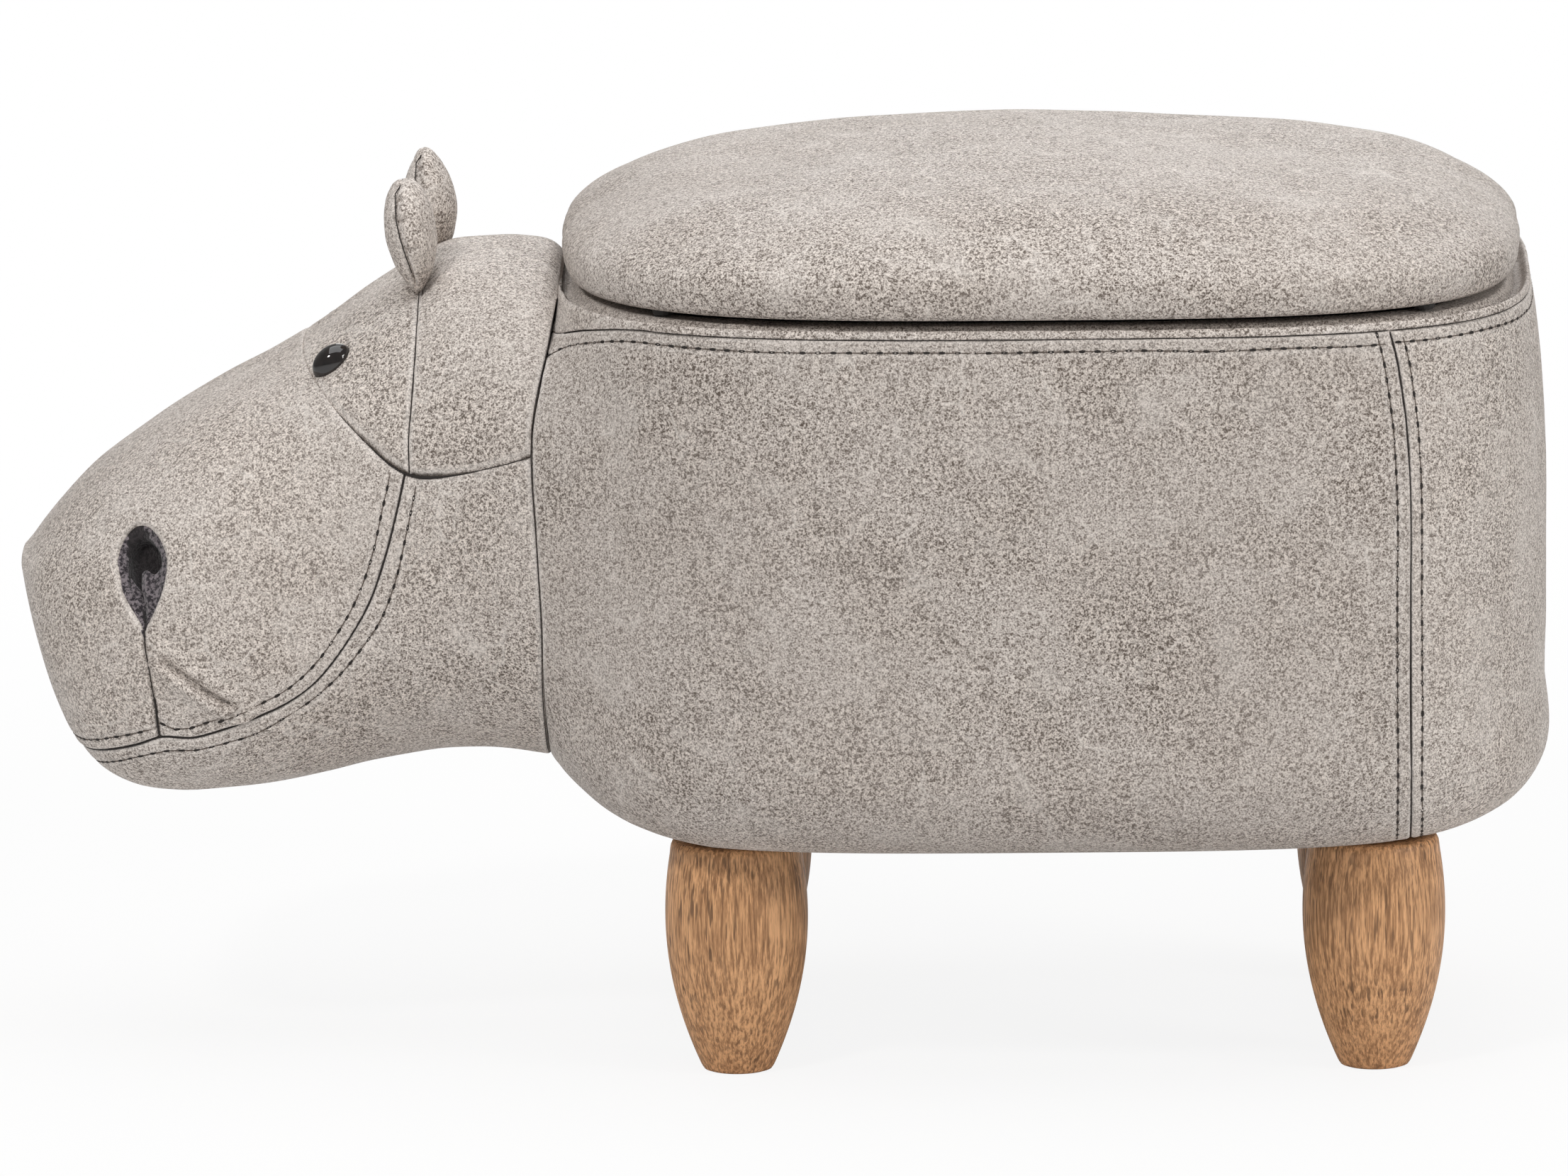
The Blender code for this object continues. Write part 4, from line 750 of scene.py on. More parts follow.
def seam_shade_cord(name, runs):
    """The closing thread deep in the seams, near black as the painted shade of the seam's gap: each run is lines,
    radius (a number or a function of a place) and the roll-in's depth and reach, which set how deep it lies."""
    shape = bmesh.new()
    for lines, radius, depth, reach in runs:
        for line, outward in lines:
            if len(line) < 4:
                continue
            rings = []
            for middle, ahead, up in zip(*spaced_along(line, outward, SEAM_STEP)):
                width = radius(middle) if callable(radius) else radius
                middle, ahead, up = Vector(middle), Vector(ahead), Vector(up)
                sunk = float(rolled(width, depth, reach)) + width * 0.35
                rings.append(ring_at(shape, middle - up * sunk, ahead.cross(up), up, width, SEAM_SIDES))
            if len(rings) > 2:
                tube(shape, rings)
    bmesh.ops.recalc_face_normals(shape, faces=shape.faces[:])
    return object_of(name, shape, [SEAM_SHADE])


# Materials


def new_material(name, shift=(0, 0, 0)):
    """A new material, the helper for its nodes and its main shader."""
    material = bpy.data.materials.new(name)
    material.use_nodes = True
    tree = material.node_tree
    return material, Nodes(tree, shift), tree.nodes["Principled BSDF"]


def toned(colour, share):
    """A colour made darker or lighter by a share."""
    return tuple(part * share for part in colour)


class Nodes:
    """Short ways to add and join shader nodes."""

    def __init__(self, tree, shift=(0, 0, 0)):
        self.tree = tree
        self.shift = shift

    def add(self, kind, **settings):
        node = self.tree.nodes.new(kind)
        for key, value in settings.items():
            setattr(node, key, value)
        return node

    def join(self, source, target):
        self.tree.links.new(source, target)

    def place(self, scale=(1, 1, 1)):
        """The point on the object, moved by the piece's own shift."""
        coordinates = self.add("ShaderNodeTexCoord")
        mapping = self.add("ShaderNodeMapping")
        mapping.inputs["Location"].default_value = self.shift
        mapping.inputs["Scale"].default_value = scale
        self.join(coordinates.outputs["Object"], mapping.inputs["Vector"])
        return mapping.outputs["Vector"]

    def noise(self, place, scale, detail=2.0, roughness=0.5, warp=0.0, output="Fac"):
        node = self.add("ShaderNodeTexNoise")
        for key, value in (("Scale", scale), ("Detail", detail), ("Roughness", roughness), ("Distortion", warp)):
            node.inputs[key].default_value = value
        self.join(place, node.inputs["Vector"])
        return node.outputs[output]

    def cells(self, place, scale, feature="DISTANCE_TO_EDGE"):
        node = self.add("ShaderNodeTexVoronoi", feature=feature)
        node.inputs["Scale"].default_value = scale
        self.join(place, node.inputs["Vector"])
        return node.outputs["Distance"]

    def ramp(self, value, stops, ease="LINEAR"):
        node = self.add("ShaderNodeValToRGB")
        node.color_ramp.interpolation = ease
        points = node.color_ramp.elements
        while len(points) < len(stops):
            points.new(0.5)
        for point, (at, colour) in zip(points, stops):
            point.position = at
            point.color = (*colour, 1) if hasattr(colour, "__len__") else (colour, colour, colour, 1)
        self.join(value, node.inputs["Fac"])
        return node.outputs["Color"]

    def feed(self, value, socket):
        """Sets a number or a colour on a socket, or joins another node's output to it."""
        if isinstance(value, (int, float)):
            socket.default_value = value
        elif isinstance(value, tuple):
            socket.default_value = (*value, 1)
        else:
            self.join(value, socket)

    def math(self, kind, first, second):
        node = self.add("ShaderNodeMath", operation=kind)
        self.feed(first, node.inputs[0])
        self.feed(second, node.inputs[1])
        return node.outputs["Value"]

    def plus(self, first, second):
        return self.math("ADD", first, second)

    def minus(self, first, second):
        return self.math("SUBTRACT", first, second)

    def times(self, first, second):
        return self.math("MULTIPLY", first, second)

    def mix(self, share, first, second):
        node = self.add("ShaderNodeMix", data_type="RGBA")
        for value, index in ((share, 0), (first, 6), (second, 7)):
            self.feed(value, node.inputs[index])
        return node.outputs[2]

    def show(self, share, first, second, output):
        """Sends a mix of two shaders to the output node."""
        blend = self.add("ShaderNodeMixShader")
        for source, socket in ((share, "Fac"), (first, 1), (second, 2)):
            self.join(source, blend.inputs[socket])
        self.join(blend.outputs["Shader"], self.tree.nodes[output].inputs["Surface"])

    def moved(self, place, amount, scale, detail=1.0):
        """The place shaken by noise, which makes straight patterns irregular."""
        centred = self.add("ShaderNodeVectorMath", operation="SUBTRACT")
        centred.inputs[1].default_value = (0.5, 0.5, 0.5)
        self.join(self.noise(place, scale, detail, output="Color"), centred.inputs[0])
        sized = self.add("ShaderNodeVectorMath", operation="SCALE")
        sized.inputs["Scale"].default_value = amount
        self.join(centred.outputs["Vector"], sized.inputs[0])
        total = self.add("ShaderNodeVectorMath", operation="ADD")
        self.join(place, total.inputs[0])
        self.join(sized.outputs["Vector"], total.inputs[1])
        return total.outputs["Vector"]

    def bump(self, height, shader, strength, distance):
        node = self.add("ShaderNodeBump")
        node.inputs["Strength"].default_value = strength
        node.inputs["Distance"].default_value = distance
        self.join(height, node.inputs["Height"])
        self.join(node.outputs["Normal"], shader.inputs["Normal"])


def leather(name, shift, tone):
    """Distressed taupe faux leather: pale fibre-like cracks over darker pits, in uneven patches."""
    material, nodes, shader = new_material(name, shift)
    place = nodes.place()
    shaken = nodes.moved(place, 0.0020, 420, 2.0)
    wide = nodes.moved(place, 0.035, 20, 2.0)
    patches = nodes.ramp(nodes.noise(wide, 22, 4.0, 0.62), ((0.38, 0.0), (0.62, 1.0)), "EASE")
    clouds = nodes.ramp(nodes.noise(place, 9, 3.0, 0.55), ((0.32, 0.0), (0.68, 1.0)), "EASE")
    hazy = nodes.moved(place, 0.020, 30, 2.0)
    haze = nodes.ramp(nodes.noise(hazy, 42, 3.0, 0.6), ((0.52, 0.0), (0.72, 1.0)), "EASE")
    fine = nodes.ramp(nodes.cells(shaken, 880), ((0.0, 1.0), (0.12, 0.60), (0.34, 0.0)))
    winding = nodes.math("ABSOLUTE", nodes.minus(nodes.noise(place, 640, 1.5, 0.55, 0.6), 0.5), 0)
    winding = nodes.ramp(winding, ((0.0, 1.0), (0.030, 0.55), (0.09, 0.0)))
    speckle = nodes.ramp(nodes.noise(place, 1250, 1.0, 0.6), ((0.40, 0.0), (0.60, 1.0)))
    pits = nodes.ramp(nodes.noise(shaken, 700, 1.5, 0.6), ((0.38, 1.0), (0.54, 0.0)))
    fibre = nodes.plus(nodes.times(fine, 0.50), nodes.times(winding, 0.36))
    fibre = nodes.plus(fibre, nodes.times(speckle, 0.44))
    pit_depth = nodes.plus(nodes.times(patches, 0.18), 0.36)
    fibre = nodes.minus(fibre, nodes.times(pits, pit_depth))
    cracks = nodes.cells(nodes.moved(place, 0.014, 50, 3.0), 40)
    long_lines = nodes.ramp(cracks, ((0.0, 1.0), (0.034, 0.0)))
    broken = nodes.ramp(nodes.noise(place, 48, 3.0, 0.6), ((0.50, 0.0), (0.62, 1.0)))
    long_lines = nodes.times(long_lines, broken)
    dark = nodes.mix(patches, (0.125, 0.096, 0.077), (0.090, 0.066, 0.050))
    # The pale and overall tones are scaled by the panel's painted shade or light.
    light = nodes.mix(patches, toned((0.850, 0.780, 0.728), tone), toned((0.850, 0.768, 0.705), tone))
    base = nodes.mix(fibre, dark, light)
    base = nodes.mix(nodes.times(clouds, 0.20), base, toned((0.560, 0.500, 0.458), tone))
    base = nodes.mix(nodes.times(haze, 0.24), base, toned((0.700, 0.650, 0.610), tone))
    base = nodes.mix(nodes.times(long_lines, 0.50), base, (0.780, 0.725, 0.680))
    # Painted highlight, partly wear: the leather turns paler where the mesh marks seam edges and stitch rows.
    wear_and_highlight_node = nodes.add("ShaderNodeAttribute", attribute_name="wear_and_highlight")
    base = nodes.mix(nodes.times(wear_and_highlight_node.outputs["Fac"], 0.42), base, (0.820, 0.770, 0.730))
    nodes.join(base, shader.inputs["Base Color"])
    nodes.join(nodes.ramp(fibre, ((0.1, 0.74), (0.9, 0.56))), shader.inputs["Roughness"])
    height = nodes.plus(fibre, nodes.times(long_lines, 0.7))
    nodes.bump(height, shader, 0.55, 0.00022)
    shader.inputs["Sheen Weight"].default_value = 0.05
    shader.inputs["Sheen Roughness"].default_value = 0.5
    return material


def wood(name, shift, light=(0.760, 0.420, 0.205), dark=(0.380, 0.185, 0.078)):
    """Oiled rubberwood: upright grain, short dark pores and slow changes of tone."""
    material, nodes, shader = new_material(name, shift)
    place = nodes.place()
    along = nodes.place((1, 1, 0.045))
    waved = nodes.moved(along, 0.006, 45, 1.0)
    bands = nodes.noise(waved, 95, 4.0, 0.62)
    streaks = nodes.noise(nodes.place((1, 1, 0.06)), 900, 3.0, 0.7)
    pores = nodes.ramp(nodes.noise(nodes.place((1, 1, 0.10)), 760, 1.0, 0.4), ((0.58, 0.0), (0.66, 1.0)))
    patch = nodes.ramp(nodes.noise(place, 42, 2.0), ((0.40, 0.25), (0.60, 1.0)))
    middle = tuple((a + b) / 2 for a, b in zip(light, dark))
    tone = nodes.ramp(bands, ((0.30, dark), (0.50, middle), (0.70, light)))
    tone = nodes.mix(nodes.ramp(streaks, ((0.38, 0.90), (0.50, 0.0))), tone, toned(dark, 0.75))
    tone = nodes.mix(nodes.ramp(streaks, ((0.50, 0.0), (0.62, 0.80))), tone, toned(light, 1.12))
    pore_colour = toned(dark, 0.34)
    tone = nodes.mix(nodes.times(nodes.times(pores, patch), 0.80), tone, pore_colour)
    nodes.join(tone, shader.inputs["Base Color"])
    nodes.join(nodes.ramp(streaks, ((0.3, 0.55), (0.7, 0.42))), shader.inputs["Roughness"])
    height = nodes.plus(nodes.times(streaks, 0.6), nodes.times(pores, -1.0))
    nodes.bump(height, shader, 0.45, 0.00022)
    return material


def cloth(name, colour, other, spacing, raised=0.00025):
    """Non-woven cloth with pressed dots, or felt when the spacing is zero."""
    material, nodes, shader = new_material(name)
    place = nodes.place()
    shaken = nodes.moved(place, 0.002, 300)
    if spacing:
        fuzz = nodes.noise(shaken, 900, 3.0, 0.7)
    else:
        fuzz = nodes.ramp(nodes.noise(shaken, 700, 2.0, 0.7), ((0.43, 0.0), (0.58, 1.0)))
    tone = nodes.mix(fuzz, colour, other)
    height = fuzz
    if spacing:
        dots = nodes.ramp(nodes.cells(place, 1 / spacing, "F1"), ((0.20, 0.0), (0.34, 1.0)))
        tone = nodes.mix(dots, toned(colour, 0.55), tone)
        height = nodes.plus(nodes.times(dots, 0.8), nodes.times(fuzz, 0.4))
    nodes.join(tone, shader.inputs["Base Color"])
    shader.inputs["Roughness"].default_value = 0.9
    shader.inputs["Sheen Weight"].default_value = 0.25
    nodes.bump(height, shader, 0.6, raised)
    return material


def steel(name):
    """Zinc-plated sheet steel, faintly brushed along X."""
    material, nodes, shader = new_material(name)
    brushed = nodes.noise(nodes.place((0.06, 1, 1)), 900, 2.0, 0.6)
    tone = nodes.ramp(brushed, ((0.2, (0.36, 0.36, 0.37)), (0.8, (0.56, 0.56, 0.57))))
    nodes.join(tone, shader.inputs["Base Color"])
    nodes.join(nodes.ramp(brushed, ((0.2, 0.42), (0.8, 0.26))), shader.inputs["Roughness"])
    shader.inputs["Metallic"].default_value = 1.0
    nodes.bump(brushed, shader, 0.15, 0.0001)
    return material


def rubber(name):
    """Matt black rubber."""
    material, nodes, shader = new_material(name)
    grain = nodes.noise(nodes.place(), 1500, 2.0, 0.6)
    nodes.join(nodes.ramp(grain, ((0.3, 0.035), (0.7, 0.06))), shader.inputs["Base Color"])
    nodes.join(nodes.ramp(grain, ((0.3, 0.7), (0.7, 0.85))), shader.inputs["Roughness"])
    nodes.bump(grain, shader, 0.3, 0.0001)
    return material


def eye_plastic(name):
    """Glossy near-black plastic."""
    material, nodes, shader = new_material(name)
    haze = nodes.noise(nodes.place(), 260, 2.0, 0.5)
    tone = nodes.ramp(haze, ((0.3, (0.004, 0.003, 0.003)), (0.8, (0.016, 0.011, 0.010))))
    nodes.join(tone, shader.inputs["Base Color"])
    nodes.join(nodes.ramp(haze, ((0.3, 0.045), (0.8, 0.085))), shader.inputs["Roughness"])
    shader.inputs["Coat Weight"].default_value = 0.6
    shader.inputs["Coat Roughness"].default_value = 0.03
    return material


def thread_material(name, colour):
    """Twisted thread, painted darker in its grooves as shade."""
    material, nodes, shader = new_material(name)
    twist = nodes.noise(nodes.place(), 3200, 2.0, 0.6)
    nodes.join(nodes.ramp(twist, ((0.3, toned(colour, 0.6)), (0.7, colour))), shader.inputs["Base Color"])
    shader.inputs["Roughness"].default_value = 0.75
    nodes.bump(twist, shader, 0.5, 0.0001)
    return material


LEATHER_SHIFTS = {
    "near": (0, 0, 0), "far": (0.31, 0.12, 0.05), "rear": (0.7, 0.4, 0.2), "binding": (0.15, 0.8, 0.3),
    "lid": (1.3, 0.2, 0.6), "snout": (2.1, 0.5, 0.9), "brow": (2.6, 1.1, 0.4), "crown": (3.3, 0.3, 1.2),
    "jaw": (3.9, 0.9, 0.1), "ear_near": (4.4, 0.1, 0.7), "ear_far": (4.9, 0.6, 0.3),
}
# Painted shade and light for each panel: darker on the barrel's sides and the lid, lighter on the head and the
# ears, for how the light falls on them.
LEATHER_SHADE_AND_LIGHT = {
    "near": 0.888, "far": 0.92, "rear": 1.0, "binding": 1.0, "lid": 0.94, "snout": 1.03, "brow": 1.05,
    "crown": 1.01, "jaw": 1.02, "ear_near": 1.06, "ear_far": 1.06,
}
LEATHER = {key: leather(f"leather_{key}", shift, LEATHER_SHADE_AND_LIGHT[key]) for key, shift in LEATHER_SHIFTS.items()}
THREAD = thread_material("thread", (0.130, 0.100, 0.080))
# Painted shade: near-black thread for the needle holes and for the cords deep in the seams, where the gaps lie in
# shade.
SEAM_SHADE = thread_material("seam_and_hole_painted_shade", (0.016, 0.011, 0.009))
LINER = cloth("liner_cloth", (0.030, 0.030, 0.031), (0.060, 0.060, 0.062), 0.0022)
FELT = cloth("nostril_felt", (0.020, 0.015, 0.020), (0.215, 0.185, 0.200), 0, raised=0.0008)
# Painted shade: darker felt for the deep part of each nostril.
FELT_SHADE = cloth("nostril_felt_painted_shade", (0.012, 0.009, 0.010), (0.030, 0.024, 0.026), 0, raised=0.0006)


# The head


def head_skin():
    """The head's whole surface from the nose to inside the barrel, as one fine bmesh."""
    sections = []
    for back, top, bottom, width, waist in HEAD_SECTION_SHARES:
        top_z, bottom_z = (CHIN_Z + HEAD_HEIGHT * share for share in (top, bottom))
        waist_z = bottom_z + (top_z - bottom_z) * waist
        sections.append((NOSE_X + HEAD_LENGTH * back, top_z, bottom_z, width * HEAD_WIDTH / 2, waist_z))
    angles = np.arange(HEAD_POINTS) * 2 * math.pi / HEAD_POINTS
    cosine, sine = np.cos(angles), np.sin(angles)
    across = np.sign(cosine) * np.abs(cosine) ** (2 / HEAD_SQUARENESS)
    up = np.sign(sine) * np.abs(sine) ** (2 / HEAD_SQUARENESS)
    rings = []
    for x, top_z, bottom_z, half_width, waist_z in smooth_path(sections, HEAD_RINGS):
        z = waist_z + np.where(up > 0, (top_z - waist_z) * up, (waist_z - bottom_z) * up)
        rings.append(np.column_stack([np.full(HEAD_POINTS, x), across * half_width, z]))
    centre = rings[0].mean(axis=0)
    cap = []
    for share in (0.04, 0.3, 0.6, 0.85):
        ring = centre + (rings[0] - centre) * share
        ring[:, 0] -= 0.0006 * (1 - share**2)
        cap.append(ring)
    shape, made = grid_shape(cap + rings)
    shape.faces.new(made[0][::-1])
    turned_outward(shape, Vector((-0.15, 0, 0.2)))
    return shape


CREASE_LINE = smooth_path(CREASE, 90)
MUZZLE_LINE = smooth_path(MUZZLE, 90)
EAR_LINE = smooth_path(EAR_SEAM, 30)
NECK_LINE = smooth_path(NECK, 60)
above_crease = beside(CREASE_LINE)
behind_muzzle = beside(MUZZLE_LINE)
before_ear = beside(EAR_LINE)
behind_neck = beside(NECK_LINE)


def polygon_distance(points, outline):
    """Distance from a closed outline, negative inside."""
    nearest = np.full(len(points), np.inf)
    inside = np.zeros(len(points), bool)
    for start, end in zip(outline, np.roll(outline, -1, axis=0)):
        step = end - start
        away = points - start
        share = np.clip(away @ step / (step @ step), 0, 1)
        nearest = np.minimum(nearest, np.linalg.norm(away - share[:, None] * step, axis=1))
        crosses = (start[1] > points[:, 1]) != (end[1] > points[:, 1])
        rise = step[1] if step[1] else 1e-12
        inside ^= crosses & (points[:, 0] < start[0] + step[0] * (points[:, 1] - start[1]) / rise)
    return np.where(inside, -nearest, nearest)


def nostril_field(points):
    """Distance from the nostril's outline in side view, negative inside. The middle of the head is outside."""
    points = np.asarray(points)
    distance = polygon_distance(points[:, [0, 2]], NOSTRIL_OUTLINE)
    return np.where(np.abs(points[:, 1]) > 0.03, distance, 0.05)


def nostril_outline():
    """The drop outline: smooth round the top and sides, with its point kept at the bottom."""
    tip = min(range(len(NOSTRIL)), key=lambda index: NOSTRIL[index][1])
    loop = NOSTRIL[tip:] + NOSTRIL[:tip] + (NOSTRIL[tip],)
    return smooth_path(loop, 70)[:-1]


NOSTRIL_OUTLINE = nostril_outline()


def dropped(tree, places, side):
    """Side-view places carried onto the head's surface on one side, with outward directions."""
    points, normals = [], []
    for x, z in places:
        hit, normal, _, _ = tree.ray_cast(Vector((x, side * 0.2, z)), Vector((0, -side, 0)))
        if hit is not None:
            points.append(hit[:])
            normals.append(normal[:] if normal.y * side > 0 else (-normal)[:])
    return np.array(points), np.array(normals)


def brow_bulge(points):
    """How much the cover swells over the low part of the crease, from 0 to 1."""
    bulge = bell(above_crease(points) - 0.012, 0.010)
    return bulge * np.clip((0.290 - points[:, 2]) / 0.012, 0, 1)


def head_panels():
    """The four sewn panels of the head's cover, with their seams, rows of stitches and creases."""
    skin = head_skin()

    def near_seams(points):
        close = np.abs(above_crease(points)) < 0.008
        close |= np.abs(behind_neck(points)) < 0.006
        close |= (np.abs(before_ear(points)) < 0.006) & (above_crease(points) > -0.004)
        return close | ((np.abs(behind_muzzle(points)) < 0.0095) & (above_crease(points) < 0.004))
    refined(skin, near_seams)

    dart_line = smooth_path(DART, 40)
    fold_line = smooth_path(FOLD, 40)
    near_dart = beside(dart_line)
    near_fold = beside(fold_line)

    def near_details(points):
        side = np.abs(points[:, 1]) > 0.04
        close = (np.abs(near_dart(points)) < 0.004) | (np.abs(near_fold(points)) < 0.006)
        return side & (close | (np.abs(nostril_field(points)) < 0.004))
    refined(skin, near_details)
    refined(skin, lambda points: (np.abs(points[:, 1]) > 0.04) & (np.abs(near_dart(points)) < 0.002))
    skin.normal_update()
    store_outward(skin)
    tree = BVHTree.FromBMesh(skin)

    head, _ = parted(skin, behind_neck)
    ends = contour_at_edge(head, behind_neck)
    below, above = parted(head, above_crease)
    crease_lines = contour_at_edge(above, above_crease)
    snout, jaw = parted(below, behind_muzzle)
    muzzle_lines = contour_at_edge(jaw, behind_muzzle)
    crown, brow = parted(above, before_ear)
    ear_lines = contour_at_edge(crown, before_ear)
    opening, snout = parted(snout, nostril_field)
    opening.free()

    crease = (above_crease, 0.0034, 0.0044, 0.0009)
    crease_low = (above_crease, 0.0016, 0.0022, 0.0001)
    muzzle = (behind_muzzle, 0.0018, 0.0022, 0.0001)
    ear = (before_ear, 0.0014, 0.0018, 0.0002)
    neck = (behind_neck, *NECK_ROLL)
    nostril = (nostril_field, 0.0020, 0.0022, 0.0)

    def crease_radius(place):
        return float(np.interp(place[0], *zip(*CREASE_SHADE_CORD)))

    lifted = [(line + outward * (0.0010 * brow_bulge(line))[:, None], outward) for line, outward in ear_lines]
    cords = seam_shade_cord("seam_shade_threads_head", [
        (crease_lines, crease_radius, *crease_low[1:3]), (muzzle_lines, 0.00042, *muzzle[1:3]),
        (lifted, 0.00022, *ear[1:3]),
        (ends, lambda place: 0.00012 + 0.00008 * float(place[2] > 0.13), *neck[1:3]),
    ])
    made, stitched = {}, {"seams": cords}
    details = {side: (dropped(tree, dart_line, side), dropped(tree, fold_line, side)) for side in (-1, 1)}
    stitched["dart"] = seam_shade_cord("seam_shade_threads_dart", [
        ([dart], lambda place: 0.00022 + 0.00020 * float(place[2] < 0.160), 0.0018, 0.0020)
        for dart, _ in details.values()])
    rows = {
        "snout": contour(snout, beside(smooth_path(INNER_ROW, 90)))
        + contour(snout, beside(smooth_path(INNER_FRONT_ROW, 40))),
        "jaw": contour(jaw, beside(smooth_path(OUTER_ROW, 90))),
    }
    plans = (
        ("snout", snout, (muzzle, crease_low, nostril, UNSEWN), 11),
        ("jaw", jaw, (muzzle, crease_low, neck, UNSEWN), 23),
        ("brow", brow, (crease, ear, UNSEWN), 37),
        ("crown", crown, (crease, ear, neck, UNSEWN), 41),
    )
    for name, shape, seams, seed in plans:
        lines = [line for line, _ in rows.get(name, [])]
        sink = sew_in(shape, seams, lines, seed)
        points = places_of(shape)
        sink += soft_waves(points, seed)
        if name == "snout":
            sink += dart_sink(points, details)
        if name in ("brow", "crown"):
            sink -= 0.0012 * brow_bulge(points)
            for side in (-1, 1):
                root = np.array((EAR_BASE_X, side * EAR_ROOT_Y, EAR_ROOT_Z))
                off_root = np.linalg.norm(points - root, axis=1)
                sink += EAR_ROOT_DENT * bell(off_root, EAR_ROOT_DENT_REACH)
        move_inward(shape, sink)
        if name == "crown":
            close_nape(shape)
        if name in rows:
            stitched[name] = stitch_row(f"stitches_{name}", rows[name], shape)
        turn_in(shape)
        piece = object_of(f"{name}_panel", shape, [LEATHER[name]])
        made[name] = thickened(piece, SHEET)
    return made, stitched, tree


def contour_at_edge(shape, field):
    """The seam lines of a panel: its open edges that lie on the field's zero, as ordered points."""
    layer = outward_layer(shape)
    edges = open_edges(shape)
    middles = np.array([((edge.verts[0].co + edge.verts[1].co) / 2)[:] for edge in edges])
    links = {}
    for edge, off in zip(edges, field(middles)):
        if abs(off) < ON_EDGE:
            for vert in edge.verts:
                links.setdefault(vert, []).append(edge.other_vert(vert))
    return [(np.array([vert.co[:] for vert in run]), np.array([vert[layer][:] for vert in run]))
            for run in chains(links) if len(run) > 3]


def dart_sink(points, details):
    """The sewn dart below each nostril, and the fold that runs back from it."""
    sink = np.zeros(len(points))
    for side, ((dart, _), (fold, _)) in details.items():
        mine = np.flatnonzero((points[:, 1] * side > 0.03) & (points[:, 2] < 0.20) & (points[:, 0] < -0.21))
        for line, depth, width in ((dart, 0.0016, 0.0009), (fold, 0.0032, 0.0012)):
            tree = tree_of([Vector(point) for point in line])
            gaps = np.array([tree.find(Vector(points[index]))[2] for index in mine])
            fade = np.clip((np.linalg.norm(points[mine] - fold[-1], axis=1) - 0.0010) / 0.0050, 0, 1)
            sink[mine] += depth * bell(gaps, width) * (fade if line is fold else 1)
        tree = tree_of([Vector(point) for point in fold])
        for index in mine:
            place, _, gap = tree.find(Vector(points[index]))
            below = points[index][2] < place.z
            gap += 0.0060 * max(0, 1 - float(np.linalg.norm(points[index] - fold[-1])) / 0.0060)
            sink[index] -= (0.0030 if below else 0.0012) * math.exp(-((gap - 0.0040) / 0.0028) ** 2)
    return sink


def close_nape(shape):
    """Turns the crown's edge down behind the head, in front of the lid's end."""
    rims = [edge for edge in open_edges(shape)
            if all(vert.co.z > RIM_SEAM_Z and vert.co.x > -0.097 for vert in edge.verts)]
    for vert in extruded(shape, rims):
        vert.co.z = RIM_SEAM_Z + 0.0005
        vert.co.x += 0.0002
    shape.normal_update()


def nostril_pouches(tree):
    """A felt pouch behind each nostril: a felt rim round a hollow, painted darker in its deep part as shade, over
    two flaps that meet below.
    """
    pieces = []
    for name, side in (("near", -1), ("far", 1)):
        rim, normals = dropped(tree, NOSTRIL_OUTLINE, side)
        inward = -Vector(normals.mean(axis=0)).normalized()
        middle = np.array(tree.ray_cast(Vector((NOSTRIL_MIDDLE[0], side * 0.2, NOSTRIL_MIDDLE[1])),
                                        Vector((0, -side, 0)))[0])
        rows = []
        for scale, deep in POUCH_STEPS:
            row = middle + (rim - middle) * scale + np.array(inward) * deep
            row += np.array(inward)[None] * (0.0007 * noise_at(row, 0.005, 71))[:, None]
            row[:, 0] += 0.0005 * noise_at(row, 0.004, 73) * (scale < 0.8)
            rows.append(row)
        shape, made = grid_shape(rows)
        shape.faces.new(made[-1])
        turned_outward(shape, Vector(middle) - inward * 0.05, -1)
        # Painted shade: the faces deep in the pouch get the darker felt.
        for face in shape.faces:
            if (face.calc_center_median() - Vector(middle)).dot(inward) > 0.0055:
                face.material_index = 1
        piece = thickened(object_of(f"nostril_pouch_{name}", shape, [FELT, FELT_SHADE]), SHEET)
        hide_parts(f"nostril_lining_{name}")
        pieces.append(piece)
        pieces += felt_flaps(name, rim, middle, inward)
    return pieces


def outline_span(rim, z):
    """The nostril's front and rear edge at a height."""
    ends = []
    for start, end in zip(rim, np.roll(rim, -1, axis=0)):
        if (start[2] - z) * (end[2] - z) <= 0 and start[2] != end[2]:
            share = (z - start[2]) / (end[2] - start[2])
            ends.append(start + (end - start) * share)
    ends = sorted(ends, key=lambda place: place[0])
    return ends[0], ends[-1]


